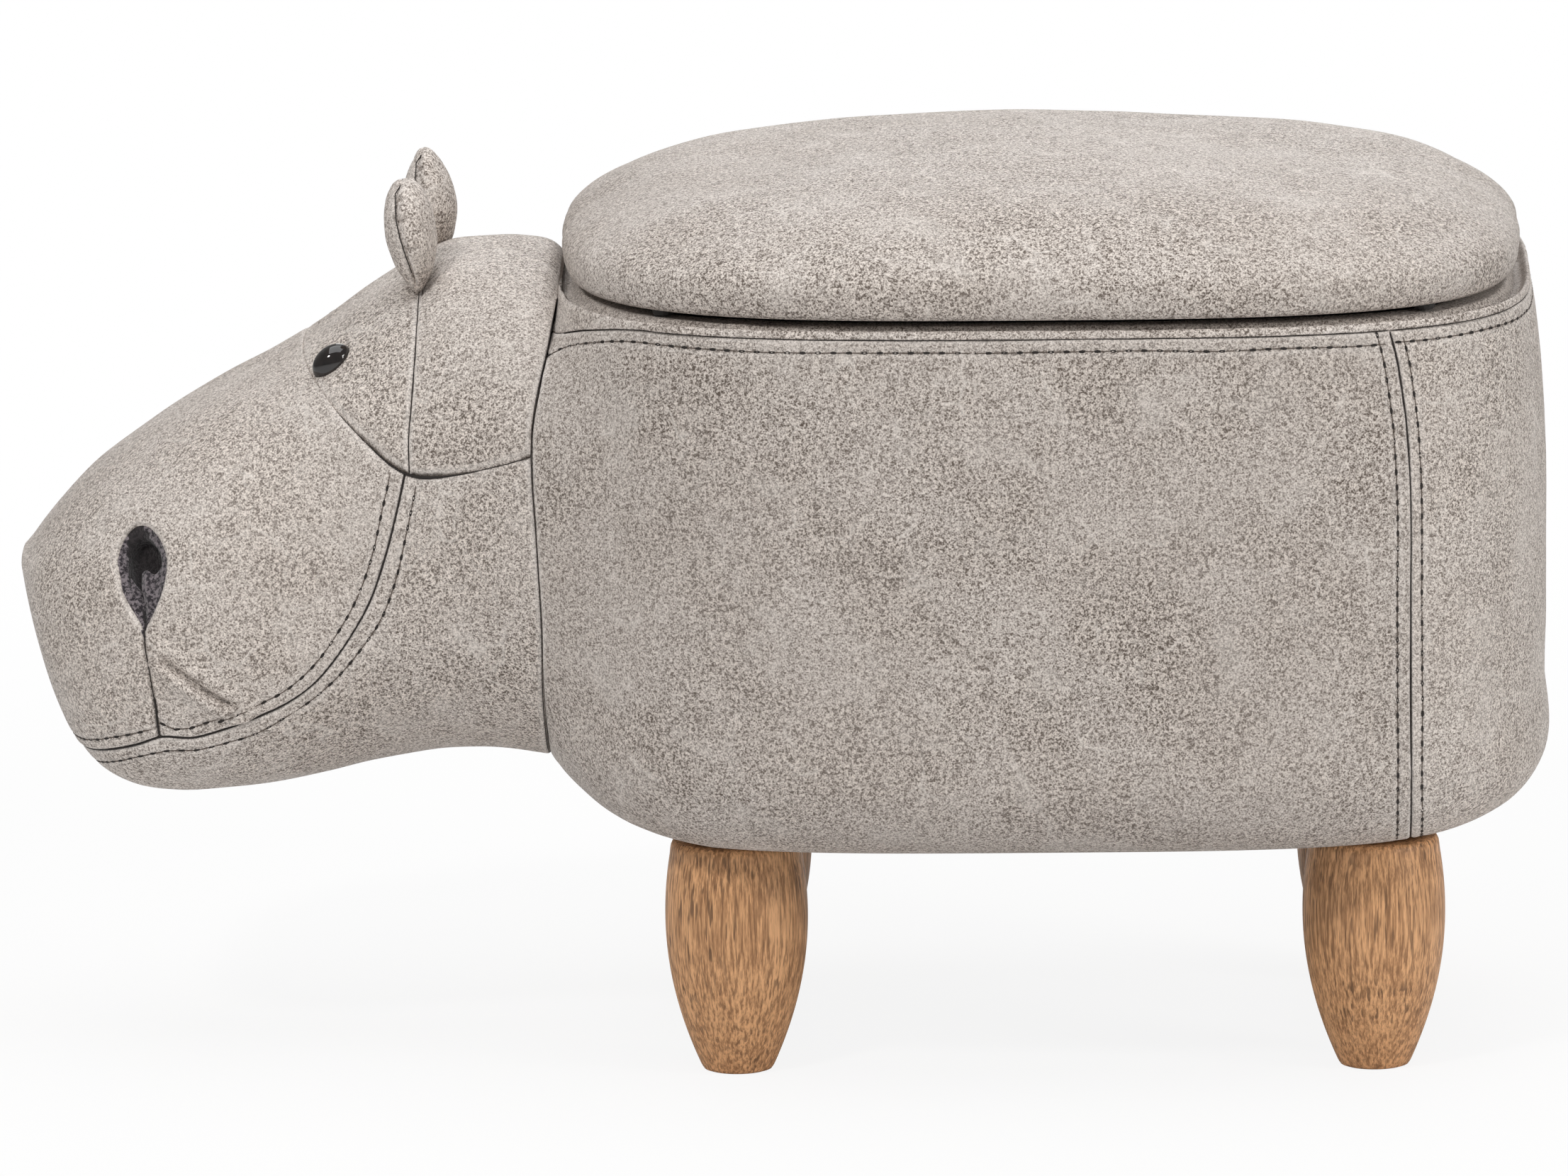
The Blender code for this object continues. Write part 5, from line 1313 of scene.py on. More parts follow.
def felt_flaps(name, rim, middle, inward):
    """The two felt flaps in the nostril's lower part, which meet on an upright line."""
    low, high = rim[:, 2].min(), rim[:, 2].max()
    pieces = []
    for which in ("front", "rear"):
        rows = []
        for up in np.linspace(0, 1, 26):
            row = []
            for span in np.linspace(0, 1, 18):
                if which == "front":
                    top = 0.70 - 0.34 * span**0.7
                else:
                    top = 0.57 + 0.03 * math.sin(9 * span) + 0.20 * span**3
                share = 0.015 + (top - 0.015) * up
                meet = np.interp(share, (0, 0.25, 0.45, 0.60), (0.5, 0.50, 0.42, 0.40))
                across = (meet + 0.012) * span if which == "front" else meet - 0.012 + (1.012 - meet) * span
                front, rear = outline_span(rim, low + (high - low) * share)
                gap = abs(across - meet)
                deep = 0.0030 + 0.0018 * math.exp(-(gap / 0.10) ** 2) + 0.0022 * up**4
                deep += 0.0008 if which == "front" else 0.0
                row.append(front + (rear - front) * across + np.array(inward) * deep)
            row = np.array(row)
            rows.append(row + np.array(inward)[None] * (0.0006 * noise_at(row, 0.0032, 77))[:, None])
        shape, _ = grid_shape(rows, around=False)
        turned_outward(shape, Vector(middle) + inward * 0.05)
        pieces.append(thickened(object_of(f"nostril_flap_{which}_{name}", shape, [FELT]), SHEET))
    return pieces


def eyes(tree, surface):
    """Glossy almond domes in the crease, their long axis along the brow."""
    pieces = []
    half_length, half_width, height = EYE_SIZES
    for name, side, lower in (("near", -1, 0), ("far", 1, FAR_EYE_DROP)):
        places, normals = dropped(tree, [(EYE_MIDDLE[0] - lower * 0.2, EYE_MIDDLE[1] - lower)], side)
        centre, normal = Vector(places[0]), Vector(normals[0]).normalized()
        along = Vector((EYE_RISE_SHARES[0], 0, EYE_RISE_SHARES[1]))
        along = (along - normal * along.dot(normal)).normalized()
        across = normal.cross(along)
        rows = []
        for turn in np.linspace(-0.22, 0.5, 19) * math.pi:
            spread, rise = math.cos(turn) ** 0.9, math.sin(turn)
            row = []
            for step in range(48):
                angle = 2 * math.pi * step / 48
                u = math.cos(angle)
                v = math.sin(angle) * (1 - 0.10 * abs(u) ** 3)
                offset = along * (u * half_length * spread) + across * (v * half_width * spread)
                row.append(centre + offset + normal * (rise * height * (1 if rise > 0 else 0.5) - 0.0006))
            rows.append(row)
        shape, made = grid_shape(rows)
        shape.faces.new(made[0][::-1])
        shape.faces.new(made[-1])
        turned_outward(shape, centre)
        piece = object_of(f"eye_dome_{name}", shape, [surface])
        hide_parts(f"eye_{name}")
        pieces.append(piece)
    return pieces


def ears():
    """Padded ears, a narrow front face and a fuller back face sewn together, pinched at the root."""
    pieces, seams = [], []
    count = 240
    angles = np.arange(count) * 2 * math.pi / count
    cosine, sine = np.cos(angles), np.sin(angles)
    along = np.sign(cosine) * np.abs(cosine) ** (2 / EAR_SQUARENESS)
    across = np.sign(sine) * np.abs(sine) ** (2 / EAR_SQUARENESS)
    for name, side, set_back, seed in (("near", -1, 0, 5), ("far", 1, EAR_FAR_SET_BACK, 9)):
        root_x = EAR_BASE_X - 0.0012 + set_back * 0.75
        base = EAR_ROOT_Z - (0.0020 if set_back else 0.0018)
        rows = []
        for up, thick, wide in smooth_path(EAR_SECTION_SHARES, 130):
            thick *= 1 - (0.34 if set_back else 0.0) * max(0, (up - 0.5) / 0.5) ** 2
            y = side * (EAR_ROOT_Y + (EAR_SPACING / 2 - EAR_ROOT_Y) * min(1, up * 3))
            rows.append(np.column_stack([root_x - EAR_LEAN * up + along * thick * EAR_THICKNESS / 2,
                                         y + across * wide * EAR_WIDTH / 2,
                                         np.full(count, base + EAR_HEIGHT * up)]))
        shape, made = grid_shape(rows)
        shape.faces.new(made[0][::-1])
        shape.faces.new(made[-1])
        turned_outward(shape, Vector((root_x, side * EAR_SPACING / 2, base + EAR_HEIGHT / 2)))
        store_outward(shape)

        def off_seam(places):
            up = (places[:, 2] - base) / EAR_HEIGHT
            line = root_x - EAR_LEAN * up + EAR_THICKNESS * np.interp(up, *zip(*EAR_SEAM_LINE))
            return places[:, 0] - line - 0.0005 * noise_at(places * (0.01, 1, 1), 0.006, seed)
        points = places_of(shape)
        up = (points[:, 2] - base) / EAR_HEIGHT
        off = off_seam(points)
        strong = np.clip((1.0 - up) / 0.10, 0.15, 1) * np.clip(up / 0.15, 0.2, 1)
        sink = strong * (0.0015 * bell(off, 0.0007) + 0.0009 * bell(off, 0.0026))
        for level, reach in EAR_DENTS:
            dent = bell(up - level - 0.3 * off / EAR_HEIGHT, 0.018)
            sink += 0.0021 * dent * bell(off - 0.001, reach) * (off > -0.001)
        creases = noise_at(points * (0.6, 0.6, 1), 0.0055, seed + 3)
        sink += 0.0005 * np.clip(creases, 0, 1) * bell(off, 0.005)
        sink += soft_waves(points, seed, 0.0005)
        seams.append((ear_line(shape, off_seam, base), 0.00024, 0.0015, 0.0012))
        move_inward(shape, sink)
        # Painted highlight, partly wear: paler leather beside the ear's seam, on its rolled edges.
        store_wear_and_highlight(shape, bell(np.abs(off) - 0.0016, 0.0008) * strong * 0.8)
        piece = object_of(f"ear_pad_{name}", shape, [LEATHER[f"ear_{name}"]])
        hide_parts(f"ear_{name}")
        pieces.append(piece)
    pieces.append(seam_shade_cord("seam_shade_threads_ears", seams))
    return pieces


def ear_line(shape, off_seam, base):
    """The ear's seam line down its outer and inner edge, without its root."""
    kept = []
    for line, outward in contour(shape, off_seam):
        wanted = line[:, 2] > base + EAR_HEIGHT * 0.20
        if wanted.all():
            kept.append((line, outward))
            continue
        first = int(np.argmin(wanted))
        line, outward, wanted = (np.roll(values, -first, axis=0) for values in (line, outward, wanted))
        kept.append((line[wanted], outward[wanted]))
    return kept


# The barrel


def head_section_at(x):
    """Top, bottom, half width and widest height of the head at a distance along the animal."""
    back = (x - NOSE_X) / HEAD_LENGTH
    table = np.array(HEAD_SECTION_SHARES)
    top, bottom, width, waist = (np.interp(back, table[:, 0], table[:, column]) for column in range(1, 5))
    top_z, bottom_z = CHIN_Z + HEAD_HEIGHT * top, CHIN_Z + HEAD_HEIGHT * bottom
    return top_z, bottom_z, width * HEAD_WIDTH / 2, bottom_z + (top_z - bottom_z) * waist


def neck_x(z):
    """Where the neck seam lies along the animal at a height."""
    order = np.argsort(NECK_LINE[:, 1])
    return np.interp(z, NECK_LINE[order, 1], NECK_LINE[order, 0])


def off_neck(points):
    """Distance outside the head's section at the neck seam, seen from the front."""
    points = np.asarray(points)
    top, bottom, half_width, waist = head_section_at(neck_x(points[:, 2]))
    height = np.where(points[:, 2] > waist, top - waist, waist - bottom)
    reach = (np.abs(points[:, 1] / half_width) ** HEAD_SQUARENESS
             + np.abs((points[:, 2] - waist) / height) ** HEAD_SQUARENESS)
    reach = np.maximum(reach, 1e-6) ** (1 / HEAD_SQUARENESS)
    radius = np.hypot(points[:, 1], points[:, 2] - waist)
    distance = radius * (1 - 1 / reach)
    return np.where(points[:, 0] < BODY_CENTRE_X, distance, 1.0)


NECK_FILLET = 0.026
COLLAR_DIP = 0.0130
# Rise of the corner under the collar by X, and its share by Z
FRONT_CORNER_RISE = ((-0.100, 0.0), (-0.092, 0.0034), (-0.078, 0.0032), (-0.058, 0.0026), (-0.030, 0.0))
FRONT_CORNER_FADE = ((COVER_BOTTOM, 0.75), (0.105, 1.0), (0.150, 0.8), (0.200, 0.0))
REAR_CORNER_OUT = 0.0026
REAR_CORNER_DROP = 0.0022
# How far forward the rear seam bends, by Z
REAR_SEAM_BEND = smooth_path(((0.200, 0.0), (0.265, -0.0003), (0.276, -0.0009), (0.286, -0.0018),
                              (0.296, -0.0031), (0.309, -0.0051), (0.3214, -0.0082)), 60)


def rim_seam_z(points):
    """The rim seam's height: level along the sides, lower where the collar meets the neck."""
    forward = np.clip((-0.054 - np.asarray(points)[:, 0]) / 0.042, 0, 1)
    return RIM_SEAM_Z - COLLAR_DIP * forward**2.1


def neck_share(place):
    """How strongly a place on the barrel's front is drawn forward to the neck seam, from 0 to 1."""
    off = float(off_neck(np.array([place[:]]))[0])
    if place[0] > BODY_CENTRE_X or off > NECK_FILLET:
        return 0.0
    return (1 - max(0, off) / NECK_FILLET) ** 2.3


def widened(place, before, share):
    """The sideways place that keeps a lowered point as far outside the head's section as it was."""
    if share <= 0 or place.z > before.z - 0.0002:
        return place.y
    lost = float(off_neck(np.array([before[:]]))[0]) - float(off_neck(np.array([place[:]]))[0])
    return place.y + math.copysign(min(0.012, max(0.0, lost / 0.75)) * share, place.y)


def corner_shift(point):
    """The stuffed corners: less full under the collar, fuller at the rear, as X and Z."""
    x, _, z = point
    front = np.interp(x, *zip(*FRONT_CORNER_RISE)) * np.interp(z, *zip(*FRONT_CORNER_FADE))
    rear = np.interp(x, (0.262, 0.300), (0.0, 1.0))
    rear *= math.sin(math.pi * min(1, max(0, (z - COVER_BOTTOM) / 0.055)))
    return REAR_CORNER_OUT * rear, front - REAR_CORNER_DROP * rear


def rear_seam_x(points):
    """The rear seam runs upright and bends forward below the rim."""
    return REAR_SEAM_X + np.interp(np.asarray(points)[:, 2], REAR_SEAM_BEND[:, 0], REAR_SEAM_BEND[:, 1])


def barrel_rows():
    """The barrel's outside from the turned-under edge to the rim seam."""
    line = [(BOTTOM_ROUND + FOOT_DRAW_IN + TURNED_UNDER * share, COVER_BOTTOM)
            for share in np.linspace(1, 0, 7)[:-1]]
    for turn in np.linspace(0, math.pi / 2, 26):
        height = COVER_BOTTOM + BOTTOM_ROUND * (1 - math.cos(turn))
        draw_in = side_draw_in(height) * math.sin(turn) + FOOT_DRAW_IN * (1 - math.sin(turn))
        line.append((BOTTOM_ROUND * (1 - math.sin(turn)) + draw_in, height))
    for height in np.linspace(COVER_BOTTOM + BOTTOM_ROUND, RIM_SEAM_Z, 84)[1:]:
        line.append((side_draw_in(height), height))
    return [body_ring(*point) for point in line]


def barrel_panels():
    """Near, far and rear panels of the barrel's cover, drawn forward to the neck seam."""
    skin, _ = grid_shape(barrel_rows())
    turned_outward(skin, Vector((BODY_CENTRE_X, 0, 0.2)))

    def near_seams(points):
        close = np.abs(off_neck(points)) < 0.012
        close |= np.abs(points[:, 0] - rear_seam_x(points)) < 0.009
        return close | (points[:, 2] > RIM_SEAM_Z - 0.0085)
    refined(skin, near_seams)
    refined(skin, lambda points: np.abs(off_neck(points)) < 0.004)
    _, skin = parted(skin, off_neck)
    for vert in skin.verts:
        before = vert.co.copy()
        share = neck_share(before)
        right, up = corner_shift(vert.co)
        forward = vert.co.x + (float(neck_x(vert.co.z)) - vert.co.x) * share
        dip = RIM_SEAM_Z - float(rim_seam_z([(forward, 0, 0)])[0])
        vert.co.z += up - dip * float(np.interp(vert.co.z, (0.270, RIM_SEAM_Z), (0.0, 1.0)))
        vert.co.x += right + (float(neck_x(vert.co.z)) - vert.co.x - right) * share
        vert.co.y = widened(vert.co, before, share)
    skin.normal_update()
    store_outward(skin)
    front, rear = parted(skin, lambda points: points[:, 0] - rear_seam_x(points))
    near, far = parted(front, lambda points: points[:, 1])

    def at_neck(points):
        return np.where(points[:, 0] < -0.05, points[:, 0] - neck_x(points[:, 2]), 1.0)

    def at_rim(points):
        return points[:, 2] - rim_seam_z(points)

    def at_rear(points):
        return points[:, 0] - rear_seam_x(points)
    neck = (at_neck, *NECK_ROLL)
    rim = (at_rim, *RIM_ROLL)
    side = (at_rear, 0.0016, 0.0019, 0.0001)
    made, stitched = {}, {}
    stitched["seams"] = seam_shade_cord("seam_shade_threads_body", [
        (contour_at_edge(rear, at_rear), 0.00032, *side[1:3]),
        (contour_at_edge(near, at_rim) + contour_at_edge(far, at_rim) + contour_at_edge(rear, at_rim),
         0.00012, *rim[1:3])])
    for name, shape, seed in (("near", near, 51), ("far", far, 57), ("rear", rear, 63)):
        rows = contour(shape, lambda points: points[:, 2] - (rim_seam_z(points) - RIM_ROW_DROP)
                       - 0.0006 * noise_at(points * (1, 1, 0), 0.030, seed))
        step = REAR_ROW_BEHIND if name == "rear" else -REAR_ROW_AHEAD
        upright = contour(shape, lambda points: points[:, 0] - rear_seam_x(points) - step)
        upright = [(line[line[:, 2] > COVER_BOTTOM + 0.001], outward[line[:, 2] > COVER_BOTTOM + 0.001])
                   for line, outward in upright]
        rows += [(line, outward) for line, outward in upright if len(line) > 3]
        sink = sew_in(shape, (neck, rim, side, UNSEWN), [line for line, _ in rows], seed)
        points = places_of(shape)
        sink += soft_waves(points, seed, 0.00055) * np.clip((points[:, 2] - COVER_BOTTOM) / 0.03, 0, 1)
        move_inward(shape, sink)
        stitched[name] = stitch_row(f"stitches_{name}", rows, shape)
        turn_in(shape)
        piece = object_of(f"barrel_panel_{name}", shape, [LEATHER[name]])
        made[name] = thickened(piece, SHEET)
    return made, stitched


def strip_line(corner, top, hollow=0.0):
    """The rim strip's section as inset and height: outer face, rounded corner, top, inner face."""
    edge = side_draw_in(RIM_SEAM_Z)
    line = [(edge + rolled(drop, *RIM_ROLL[:2]), RIM_SEAM_Z + drop) for drop in np.linspace(0, 0.0010, 7)]
    first = math.asin(max(0.42, 1 - (top - RIM_SEAM_Z - 0.0012) / corner))
    for turn in np.linspace(first, math.pi / 2, 10):
        line.append((edge + corner * (1 - math.cos(turn)), top - corner * (1 - math.sin(turn))))
    inner = BINDING_INNER_INSET
    over_wall = RIM_TOP - 0.0004
    for inset in np.linspace(edge + corner, inner - INNER_ROUND, 30)[1:]:
        rise = eased(min(1, max(0, (inset - 0.0125) / 0.0047)))
        fall = eased(min(1, max(0, (inset - edge - corner) / 0.0030)))
        line.append((inset, top + (over_wall - top) * rise - hollow * fall * (1 - rise)))
    for turn in np.linspace(0, math.pi / 2, 6)[1:]:
        line.append((inner - INNER_ROUND * (1 - math.sin(turn)), over_wall - INNER_ROUND * (1 - math.cos(turn))))
    for drop in np.linspace(0.0031, BINDING_INSIDE, 20)[1:]:
        line.append((inner, RIM_TOP - drop))
    return line


def clear_of_corners(ring):
    """A ring of the inside moved in at the corners, where the wall is bent in flats."""
    spread = np.abs(BODY_OUTLINE[:, 0]) / (BODY_LENGTH / 2) + np.abs(BODY_OUTLINE[:, 1]) / (BODY_WIDTH / 2)
    share = np.clip((spread - 1.14) / 0.22, 0, 1)[:, None]
    moved = ring.copy()
    moved[:, :2] -= BODY_OUTWARD * CORNER_CLEARANCE * share
    return moved


def off_outline(place):
    """How far a place lies from the barrel's widest outline."""
    flat = BODY_OUTLINE - np.array((place.x - BODY_CENTRE_X, place.y))
    return float(np.min(np.hypot(flat[:, 0], flat[:, 1])))


def rim_strip():
    """The strip over the rim, from the seam outside to the lining inside, and its inner row of stitches.

    It is level on the hinges' side. On the others it is a low lip with a hollow behind it, which
    leaves the dark gap under the lid open.
    """
    level = strip_line(RIM_ROUND, RIM_TOP - 0.0006)
    lowered = strip_line(LIP_ROUND, RIM_TOP - LIP_DROP, LIP_HOLLOW)
    rows = []
    for (inset, height), (low_inset, low_height) in zip(level, lowered):
        ring, low_ring = body_ring(inset, height), body_ring(low_inset, low_height)
        if inset > BINDING_INNER_INSET - 0.0026:
            ring, low_ring = clear_of_corners(ring), clear_of_corners(low_ring)
        share = eased(np.clip((0.120 - ring[:, 1]) / 0.03, 0, 1)[:, None])
        rows.append(ring + (low_ring - ring) * share)
    shape, _ = grid_shape(rows)
    lip_top = RIM_TOP - LIP_DROP
    for vert in shape.verts:
        outside = min(1, max(0, (lip_top - vert.co.z) / (lip_top - RIM_SEAM_Z)))
        if outside and off_outline(vert.co) < 0.010:
            before = Vector((vert.co.x, vert.co.y, RIM_SEAM_Z))
            share = neck_share(before) * outside
            forward = vert.co.x + (float(neck_x(vert.co.z)) - vert.co.x) * share
            vert.co.z -= (RIM_SEAM_Z - float(rim_seam_z([(forward, 0, 0)])[0])) * outside
            vert.co.x += (float(neck_x(vert.co.z)) - vert.co.x) * share
            vert.co.y = widened(vert.co, before, share)
    turned_up(shape)
    store_outward(shape)
    points = places_of(shape)
    waves = 0.00030 * noise_at(points, 0.03, 81) + 0.00018 * noise_at(points, 0.008, 83)
    rows = contour(shape, lambda places: places[:, 2] - (RIM_TOP - BINDING_INSIDE + 0.005))
    row_tree = tree_of([Vector(point) for line, _ in rows for point in line])
    gaps = np.array([row_tree.find(vert.co)[2] for vert in shape.verts])
    move_inward(shape, np.abs(waves) + 0.0004 * bell(gaps, 0.0016))
    stitches = stitch_row("stitches_rim", rows, shape)
    return thickened(object_of("rim_strip", shape, [LEATHER["binding"]]), SHEET), stitches


def bin_linings():
    """Black non-woven lining: four sides in one piece, slightly slack, and the floor over a board."""
    bottom = BIN_FLOOR_Z + 0.0003
    inward = np.column_stack([BODY_OUTWARD, np.zeros(len(BODY_OUTWARD))])
    rows = []
    for share in np.linspace(0, 1, 60):
        row = body_ring(LINING_INSET + LINING_GAP, bottom + (LINING_TOP_Z - bottom) * share)
        slack = 0.0014 * np.sin(math.pi * share) * (noise_at(row * (1, 1, 0.35), 0.05, 91) + 1) / 2
        rows.append(clear_of_corners(row - inward * slack[:, None]))
    shape, _ = grid_shape(rows)
    turned_outward(shape, Vector((BODY_CENTRE_X, 0, 0.2)), -1)
    wall = thickened(object_of("lining_wall", shape, [LINER]), LINING_SHEET)
    ring = body_ring(LINING_INSET + LINING_GAP, BIN_FLOOR_Z)
    rows = [ring] + level_rows(ring, np.linspace(0.97, 0.02, 50), 0.0004, 0.06, 95)
    return wall, level_cloth("lining_floor", rows, 1, LINING_SHEET)


def level_rows(ring, shares, amount, size, seed):
    """Rows of points inside a ring, toward its middle, slightly uneven in height."""
    middle = np.array((BODY_CENTRE_X, 0, ring[0, 2]))
    rows = []
    for share in shares:
        row = middle + (ring - middle) * share
        row[:, 2] += amount * noise_at(row, size, seed)
        rows.append(row)
    return rows


def level_cloth(name, rows, sign, thickness):
    """A level cloth through rows of points, its face up, or down with sign -1."""
    shape, made = grid_shape(rows)
    shape.faces.new(made[-1])
    turned_up(shape, sign)
    return thickened(object_of(name, shape, [LINER]), thickness)


def under_cloth(name, ring, seed):
    """A cloth stapled flat under the base or the lid."""
    return level_cloth(name, level_rows(ring, np.linspace(1, 0.02, 46), 0.00025, 0.03, seed), -1, 0.0006)


def staples(name, ring, height, surface):
    """Small staples round the edge of a cloth, seen from below."""
    closed = np.concatenate([ring, ring[:1]])
    travel = np.concatenate([[0], np.cumsum(np.linalg.norm(np.diff(closed, axis=0), axis=1))])
    count = int(travel[-1] / STAPLE_SPACING)
    shape = bmesh.new()
    for stop in (np.arange(count) + 0.5) * travel[-1] / count:
        x, y = (np.interp(stop, travel, closed[:, axis]) for axis in range(2))
        x2, y2 = (np.interp(stop + 0.001, travel, closed[:, axis]) for axis in range(2))
        ahead = Vector((x2 - x, y2 - y, 0)).normalized()
        side = ahead.cross(Vector((0, 0, 1)))
        for vert in bmesh.ops.create_cube(shape, size=1)["verts"]:
            local = Vector(part * size for part, size in zip(vert.co, STAPLE_SIZES))
            vert.co = Vector((x, y, height + local.z)) + ahead * local.x + side * local.y
    bmesh.ops.bevel(shape, geom=shape.edges[:], offset=0.0002, segments=1, affect="EDGES")
    return object_of(name, shape, [surface])


# The lid


# Rise of the lid's top over its plain profile along the animal, from the lid's middle.
LID_ARCH = smooth_path(((-0.2015, -0.0026), (-0.1855, -0.0034), (-0.1285, -0.0033), (-0.0715, 0.0001),
                        (-0.0295, 0.0018), (0.0015, 0.0020), (0.0285, 0.0010), (0.0565, -0.0002),
                        (0.0995, -0.0015), (0.1425, -0.0033), (0.1715, -0.0040), (0.2015, -0.0052)), 90)


def lid_line():
    """The lid's outside as inset and height, from its turned-under edge to the middle of its crown."""
    points = [(LID_UNDER_REACH + LID_TURNED_UNDER, LID_COVER_BOTTOM), (LID_UNDER_REACH + 0.003, LID_COVER_BOTTOM)]
    for turn in np.linspace(0, math.pi / 2, 7):
        points.append((LID_UNDER_REACH * (1 - math.sin(turn)),
                       LID_COVER_BOTTOM + LID_UNDER_RISE * (1 - math.cos(turn))))
    power = 2 / LID_EDGE_SQUARENESS
    widest = LID_COVER_BOTTOM + LID_UNDER_RISE
    for turn in np.linspace(0, math.pi / 2, 9)[1:-1]:
        points.append((LID_EDGE_REACH * (1 - math.cos(turn) ** power),
                       widest + LID_EDGE_RISE * math.sin(turn) ** power))
    for share in np.linspace(0.0, 0.99, 8)[1:]:
        inset = LID_EDGE_REACH + (LID_WIDTH / 2 - LID_EDGE_REACH) * share
        points.append((inset, widest + LID_EDGE_RISE + LID_CROWN_RISE * (1 - (1 - share) ** 2)))
    return smooth_path(points, 150)


def lid_cover():
    """The padded lid: a crowned form that swells over its board, with the slack of leather over foam."""
    shape, made = grid_shape([lid_ring(*point) for point in lid_line()])
    shape.faces.new(made[-1])
    turned_outward(shape, Vector((BODY_CENTRE_X, 0, 0.345)))
    store_outward(shape)
    points = places_of(shape)
    upper = np.clip((points[:, 2] - LID_COVER_BOTTOM) / 0.012, 0, 1)
    sink = 0.0007 * noise_at(points, 0.070, 101) + 0.0003 * noise_at(points, 0.024, 103)
    low = bell(points[:, 2] - LID_COVER_BOTTOM - 0.006, 0.007)
    sink += low * 0.0005 * noise_at(points * (1, 1, 0.3), 0.013, 107)
    move_inward(shape, (sink + 0.0004) * upper)
    for vert in shape.verts:
        below = 1 - (vert.co.z - LID_COVER_BOTTOM) / 0.018
        outer = min(1, max(0, below)) * min(1, max(0, (0.150 - vert.co.y) / 0.05))
        vert.co.z -= LID_SAG * eased(outer)
        top_share = min(1, max(0, (vert.co.z - LID_COVER_BOTTOM - LID_UNDER_RISE) / 0.018))
        back = min(1, max(0, (vert.co.x - 0.245) / 0.066))
        vert.co.x -= LID_REAR_DRAW_IN * back * back
        vert.co.z += float(np.interp(vert.co.x - BODY_CENTRE_X, LID_ARCH[:, 0], LID_ARCH[:, 1])) * top_share
    return thickened(object_of("lid_padding", shape, [LEATHER["lid"]]), SHEET)


# Legs and hardware


def leg_profile():
    """Radius and height from the rounded foot through the belly to the top."""
    points = [(0.0128, 0.0), (0.0141, 0.0004), (0.0150, 0.0016)]
    for height in np.linspace(0.004, LEG_BELLY_Z, 12):
        points.append((LEG_BELLY_RADIUS - 0.0148 * ((LEG_BELLY_Z - height) / 0.0645) ** 2, height))
    for height in np.linspace(LEG_BELLY_Z, 0.0965, 7)[1:]:
        points.append((LEG_BELLY_RADIUS - 0.0033 * ((height - LEG_BELLY_Z) / 0.032) ** 2, height))
    points += [(0.0261, 0.0976), (0.0254, 0.0980)]
    return smooth_path(points, 70)


def legs():
    """Four turned legs, each with its own run of the grain."""
    pieces = []
    count = 96
    angles = np.arange(count) * 2 * math.pi / count
    for index, (name, (x, y)) in enumerate(LEG_PLACES.items()):
        rows = []
        for radius, height in leg_profile():
            rows.append(np.column_stack([x + radius * np.cos(angles), y + radius * np.sin(angles),
                                         np.full(count, height)]))
        shape, made = grid_shape(rows)
        shape.faces.new(made[0][::-1])
        shape.faces.new(made[-1])
        turned_outward(shape, Vector((x, y, 0.05)))
        surface = wood(f"leg_wood_{name}", (index * 0.37, index * 0.71, index * 0.013))
        piece = object_of(f"turned_leg_{name}", shape, [surface])
        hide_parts(f"leg_{name}")
        pieces.append(piece)
    return pieces


def hinge_screws(surface):
    """Three countersunk screws through each hinge leaf."""
    pieces = {"stool": [], "lid": []}
    for body, leaf, up in (("stool", "lower", 1), ("lid", "upper", -1)):
        for end in ("front", "rear"):
            low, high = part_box(f"hinge_{leaf}_leaf_{end}")
            middle = (low.x + high.x) / 2
            level = RIM_TOP + 0.0013 if up > 0 else LID_LINING_Z - 0.0013
            shape = bmesh.new()
            for step, row in HINGE_SCREW_PLACES:
                tube(shape, [ring_at(shape, Vector((middle + step, row, level + up * rise)), Vector((1, 0, 0)),
                                     Vector((0, 1, 0)), radius, 20) for radius, rise in SCREW_HEAD])
            bmesh.ops.recalc_face_normals(shape, faces=shape.faces[:])
            pieces[body].append(object_of(f"hinge_screws_{leaf}_{end}", shape, [surface]))
    return pieces


def paint_nodes():
    """Gives each CAD node that stays its own finish."""
    metal = steel("zinc_steel")
    board = wood("plywood", (0.2, 0.1, 0), (0.68, 0.52, 0.34), (0.50, 0.36, 0.22))
    black = rubber("bumper_rubber")
    for name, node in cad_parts.items():
        if name.startswith(("hinge_", "leg_bolt", "leg_nut", "head_screw", "eye_washer")):
            chosen = metal
        elif name.startswith(("base_board", "wall_", "head_board", "lid_board")):
            chosen = board
        elif name.startswith("lid_bumper"):
            chosen = black
        else:
            continue
        if not node.material_slots:
            node.data.materials.append(chosen)
        for slot in node.material_slots:
            slot.material = chosen
    return metal


# Stage, light and camera


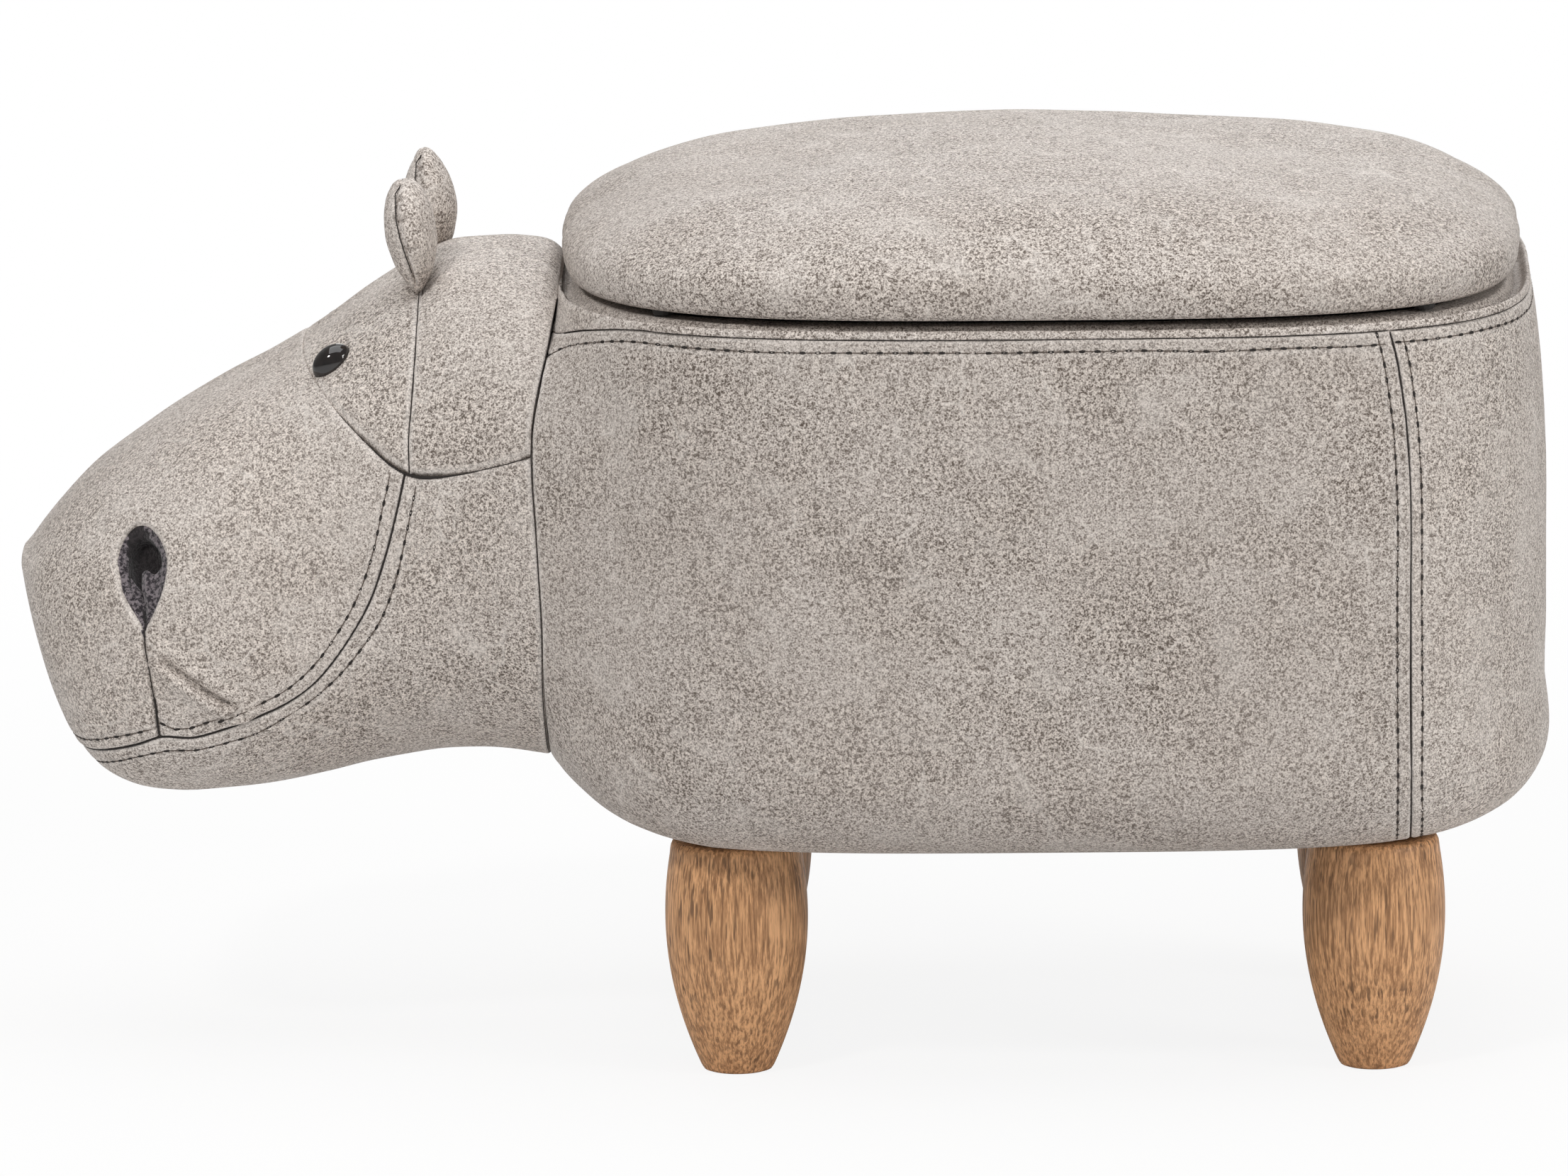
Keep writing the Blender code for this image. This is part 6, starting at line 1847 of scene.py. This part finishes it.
def stage():
    """A pale floor that glows toward white for the camera, and an even, slightly warm surround."""
    shape = bmesh.new()
    corners = ((-1, -1), (1, -1), (1, 1), (-1, 1))
    shape.faces.new([shape.verts.new((x * FLOOR_REACH, y * FLOOR_REACH, 0)) for x, y in corners])
    material, nodes, shader = new_material("floor_white")
    shader.inputs["Base Color"].default_value = FLOOR_COLOUR
    shader.inputs["Roughness"].default_value = 0.9
    glow = nodes.add("ShaderNodeEmission")
    glow.inputs["Color"].default_value = WHITE
    glow.inputs["Strength"].default_value = 1.0
    away = nodes.add("ShaderNodeVectorMath", operation="LENGTH")
    nodes.join(nodes.add("ShaderNodeTexCoord").outputs["Object"], away.inputs[0])
    clear = nodes.ramp(nodes.times(away.outputs["Value"], 0.5), ((0.20, 0.88), (0.62, 1.0)), "EASE")
    path = nodes.add("ShaderNodeLightPath")
    seen = nodes.times(path.outputs["Is Camera Ray"], clear)
    nodes.show(seen, shader.outputs["BSDF"], glow.outputs["Emission"], "Material Output")
    object_of("studio_floor", shape, [material])

    world = bpy.data.worlds.new("studio")
    world.use_nodes = True
    bpy.context.scene.world = world
    nodes = Nodes(world.node_tree)
    background = world.node_tree.nodes["Background"]
    background.inputs["Color"].default_value = SURROUND_COLOUR
    background.inputs["Strength"].default_value = SURROUND_STRENGTH
    white = nodes.add("ShaderNodeBackground")
    white.inputs["Color"].default_value = WHITE
    path = nodes.add("ShaderNodeLightPath")
    seen = nodes.math("MAXIMUM", path.outputs["Is Camera Ray"], path.outputs["Is Transmission Ray"])
    nodes.show(seen, background.outputs["Background"], white.outputs["Background"], "World Output")


def lights():
    """The lamps, each turned to the animal's middle."""
    for name, (place, size, watts, colour) in LAMPS.items():
        lamp = bpy.data.lights.new(name, "AREA")
        lamp.shape = "RECTANGLE"
        lamp.size, lamp.size_y = size
        lamp.energy = watts
        lamp.color = colour
        holder = bpy.data.objects.new(name, lamp)
        bpy.context.scene.collection.objects.link(holder)
        holder.location = place
        holder.rotation_euler = (Vector(LAMP_TARGET) - Vector(place)).to_track_quat("-Z", "Y").to_euler()


CAMERA_DISTANCE = 8.15
CAMERA_AZIMUTH = math.radians(0.76)
CAMERA_ELEVATION = math.radians(10.77)
CAMERA_ROLL = 0.01017
CAMERA_LENS = 442.7
VIEW_MIDDLE_RIGHT = -0.0005
VIEW_MIDDLE_UP = 0.1840


def camera():
    """The photograph's long lens from slightly above, rolled a little."""
    right = Vector((math.cos(CAMERA_AZIMUTH), math.sin(CAMERA_AZIMUTH), 0))
    forward = Vector((-math.sin(CAMERA_AZIMUTH) * math.cos(CAMERA_ELEVATION),
                      math.cos(CAMERA_AZIMUTH) * math.cos(CAMERA_ELEVATION), -math.sin(CAMERA_ELEVATION)))
    up = right.cross(forward)
    turned_right = (right - up * CAMERA_ROLL).normalized()
    turned_up = (up + right * CAMERA_ROLL).normalized()
    data = bpy.data.cameras.new("photo_camera")
    data.sensor_width = 36.0
    data.lens = CAMERA_LENS
    data.clip_end = 100.0
    holder = bpy.data.objects.new("photo_camera", data)
    bpy.context.scene.collection.objects.link(holder)
    place = right * VIEW_MIDDLE_RIGHT + up * VIEW_MIDDLE_UP - forward * CAMERA_DISTANCE
    turn = Matrix((turned_right, turned_up, -forward)).transposed().to_4x4()
    holder.matrix_world = Matrix.Translation(place) @ turn
    bpy.context.scene.camera = holder


def main():
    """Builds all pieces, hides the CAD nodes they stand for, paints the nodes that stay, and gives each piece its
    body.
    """
    camera()
    metal = paint_nodes()
    panels, head_stitches, head_tree = head_panels()
    stood_for = {"snout": ("snout_cover",), "brow": ("brow_cover",), "crown": ("crown_cover",),
                 "jaw": ("jaw_cover", "head_filling")}
    for name, piece in panels.items():
        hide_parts(*stood_for[name])
        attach(piece, "stool")
    features = (*nostril_pouches(head_tree), *eyes(head_tree, eye_plastic("eye_gloss")), *ears())
    for piece in (*head_stitches.values(), *features):
        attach(piece, "stool")

    covers, body_stitches = barrel_panels()
    stood_for = {"near": ("body_cover_near", "foam_wrap_near"), "far": ("body_cover_far", "foam_wrap_far"),
                 "rear": ("body_cover_rear",)}
    for name, piece in covers.items():
        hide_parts(*stood_for[name])
        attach(piece, "stool")
    for piece in body_stitches.values():
        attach(piece, "stool")
    strip, strip_stitches = rim_strip()
    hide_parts("rim_binding")
    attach(strip, "stool")
    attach(strip_stitches, "stool")

    wall, floor = bin_linings()
    for piece, node in ((wall, "bin_lining_wall"), (floor, "bin_lining_floor")):
        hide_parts(node)
        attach(piece, "stool")

    dust = under_cloth("dust_cloth", body_ring(DUST_COVER_INSET, DUST_COVER_Z + 0.0008), 121)
    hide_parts("dust_cover", "foam_base_pad")
    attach(dust, "stool")
    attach(staples("staples_base", body_ring(DUST_COVER_INSET + 0.006, 0), DUST_COVER_Z, metal), "stool")

    padding = lid_cover()
    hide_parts("lid_cover", "lid_cushion")
    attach(padding, "lid")
    under = under_cloth("lid_lining", lid_ring(LID_LINING_INSET, LID_LINING_Z + 0.0008), 131)
    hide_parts("lid_underside_lining")
    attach(under, "lid")
    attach(staples("staples_lid", lid_ring(LID_LINING_INSET + 0.006, 0), LID_LINING_Z, metal), "lid")

    for piece in legs():
        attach(piece, "stool")
    for body, pieces in hinge_screws(metal).items():
        for piece in pieces:
            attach(piece, body)
    stage()
    lights()
    bpy.context.scene.view_settings.view_transform = "Standard"


main()
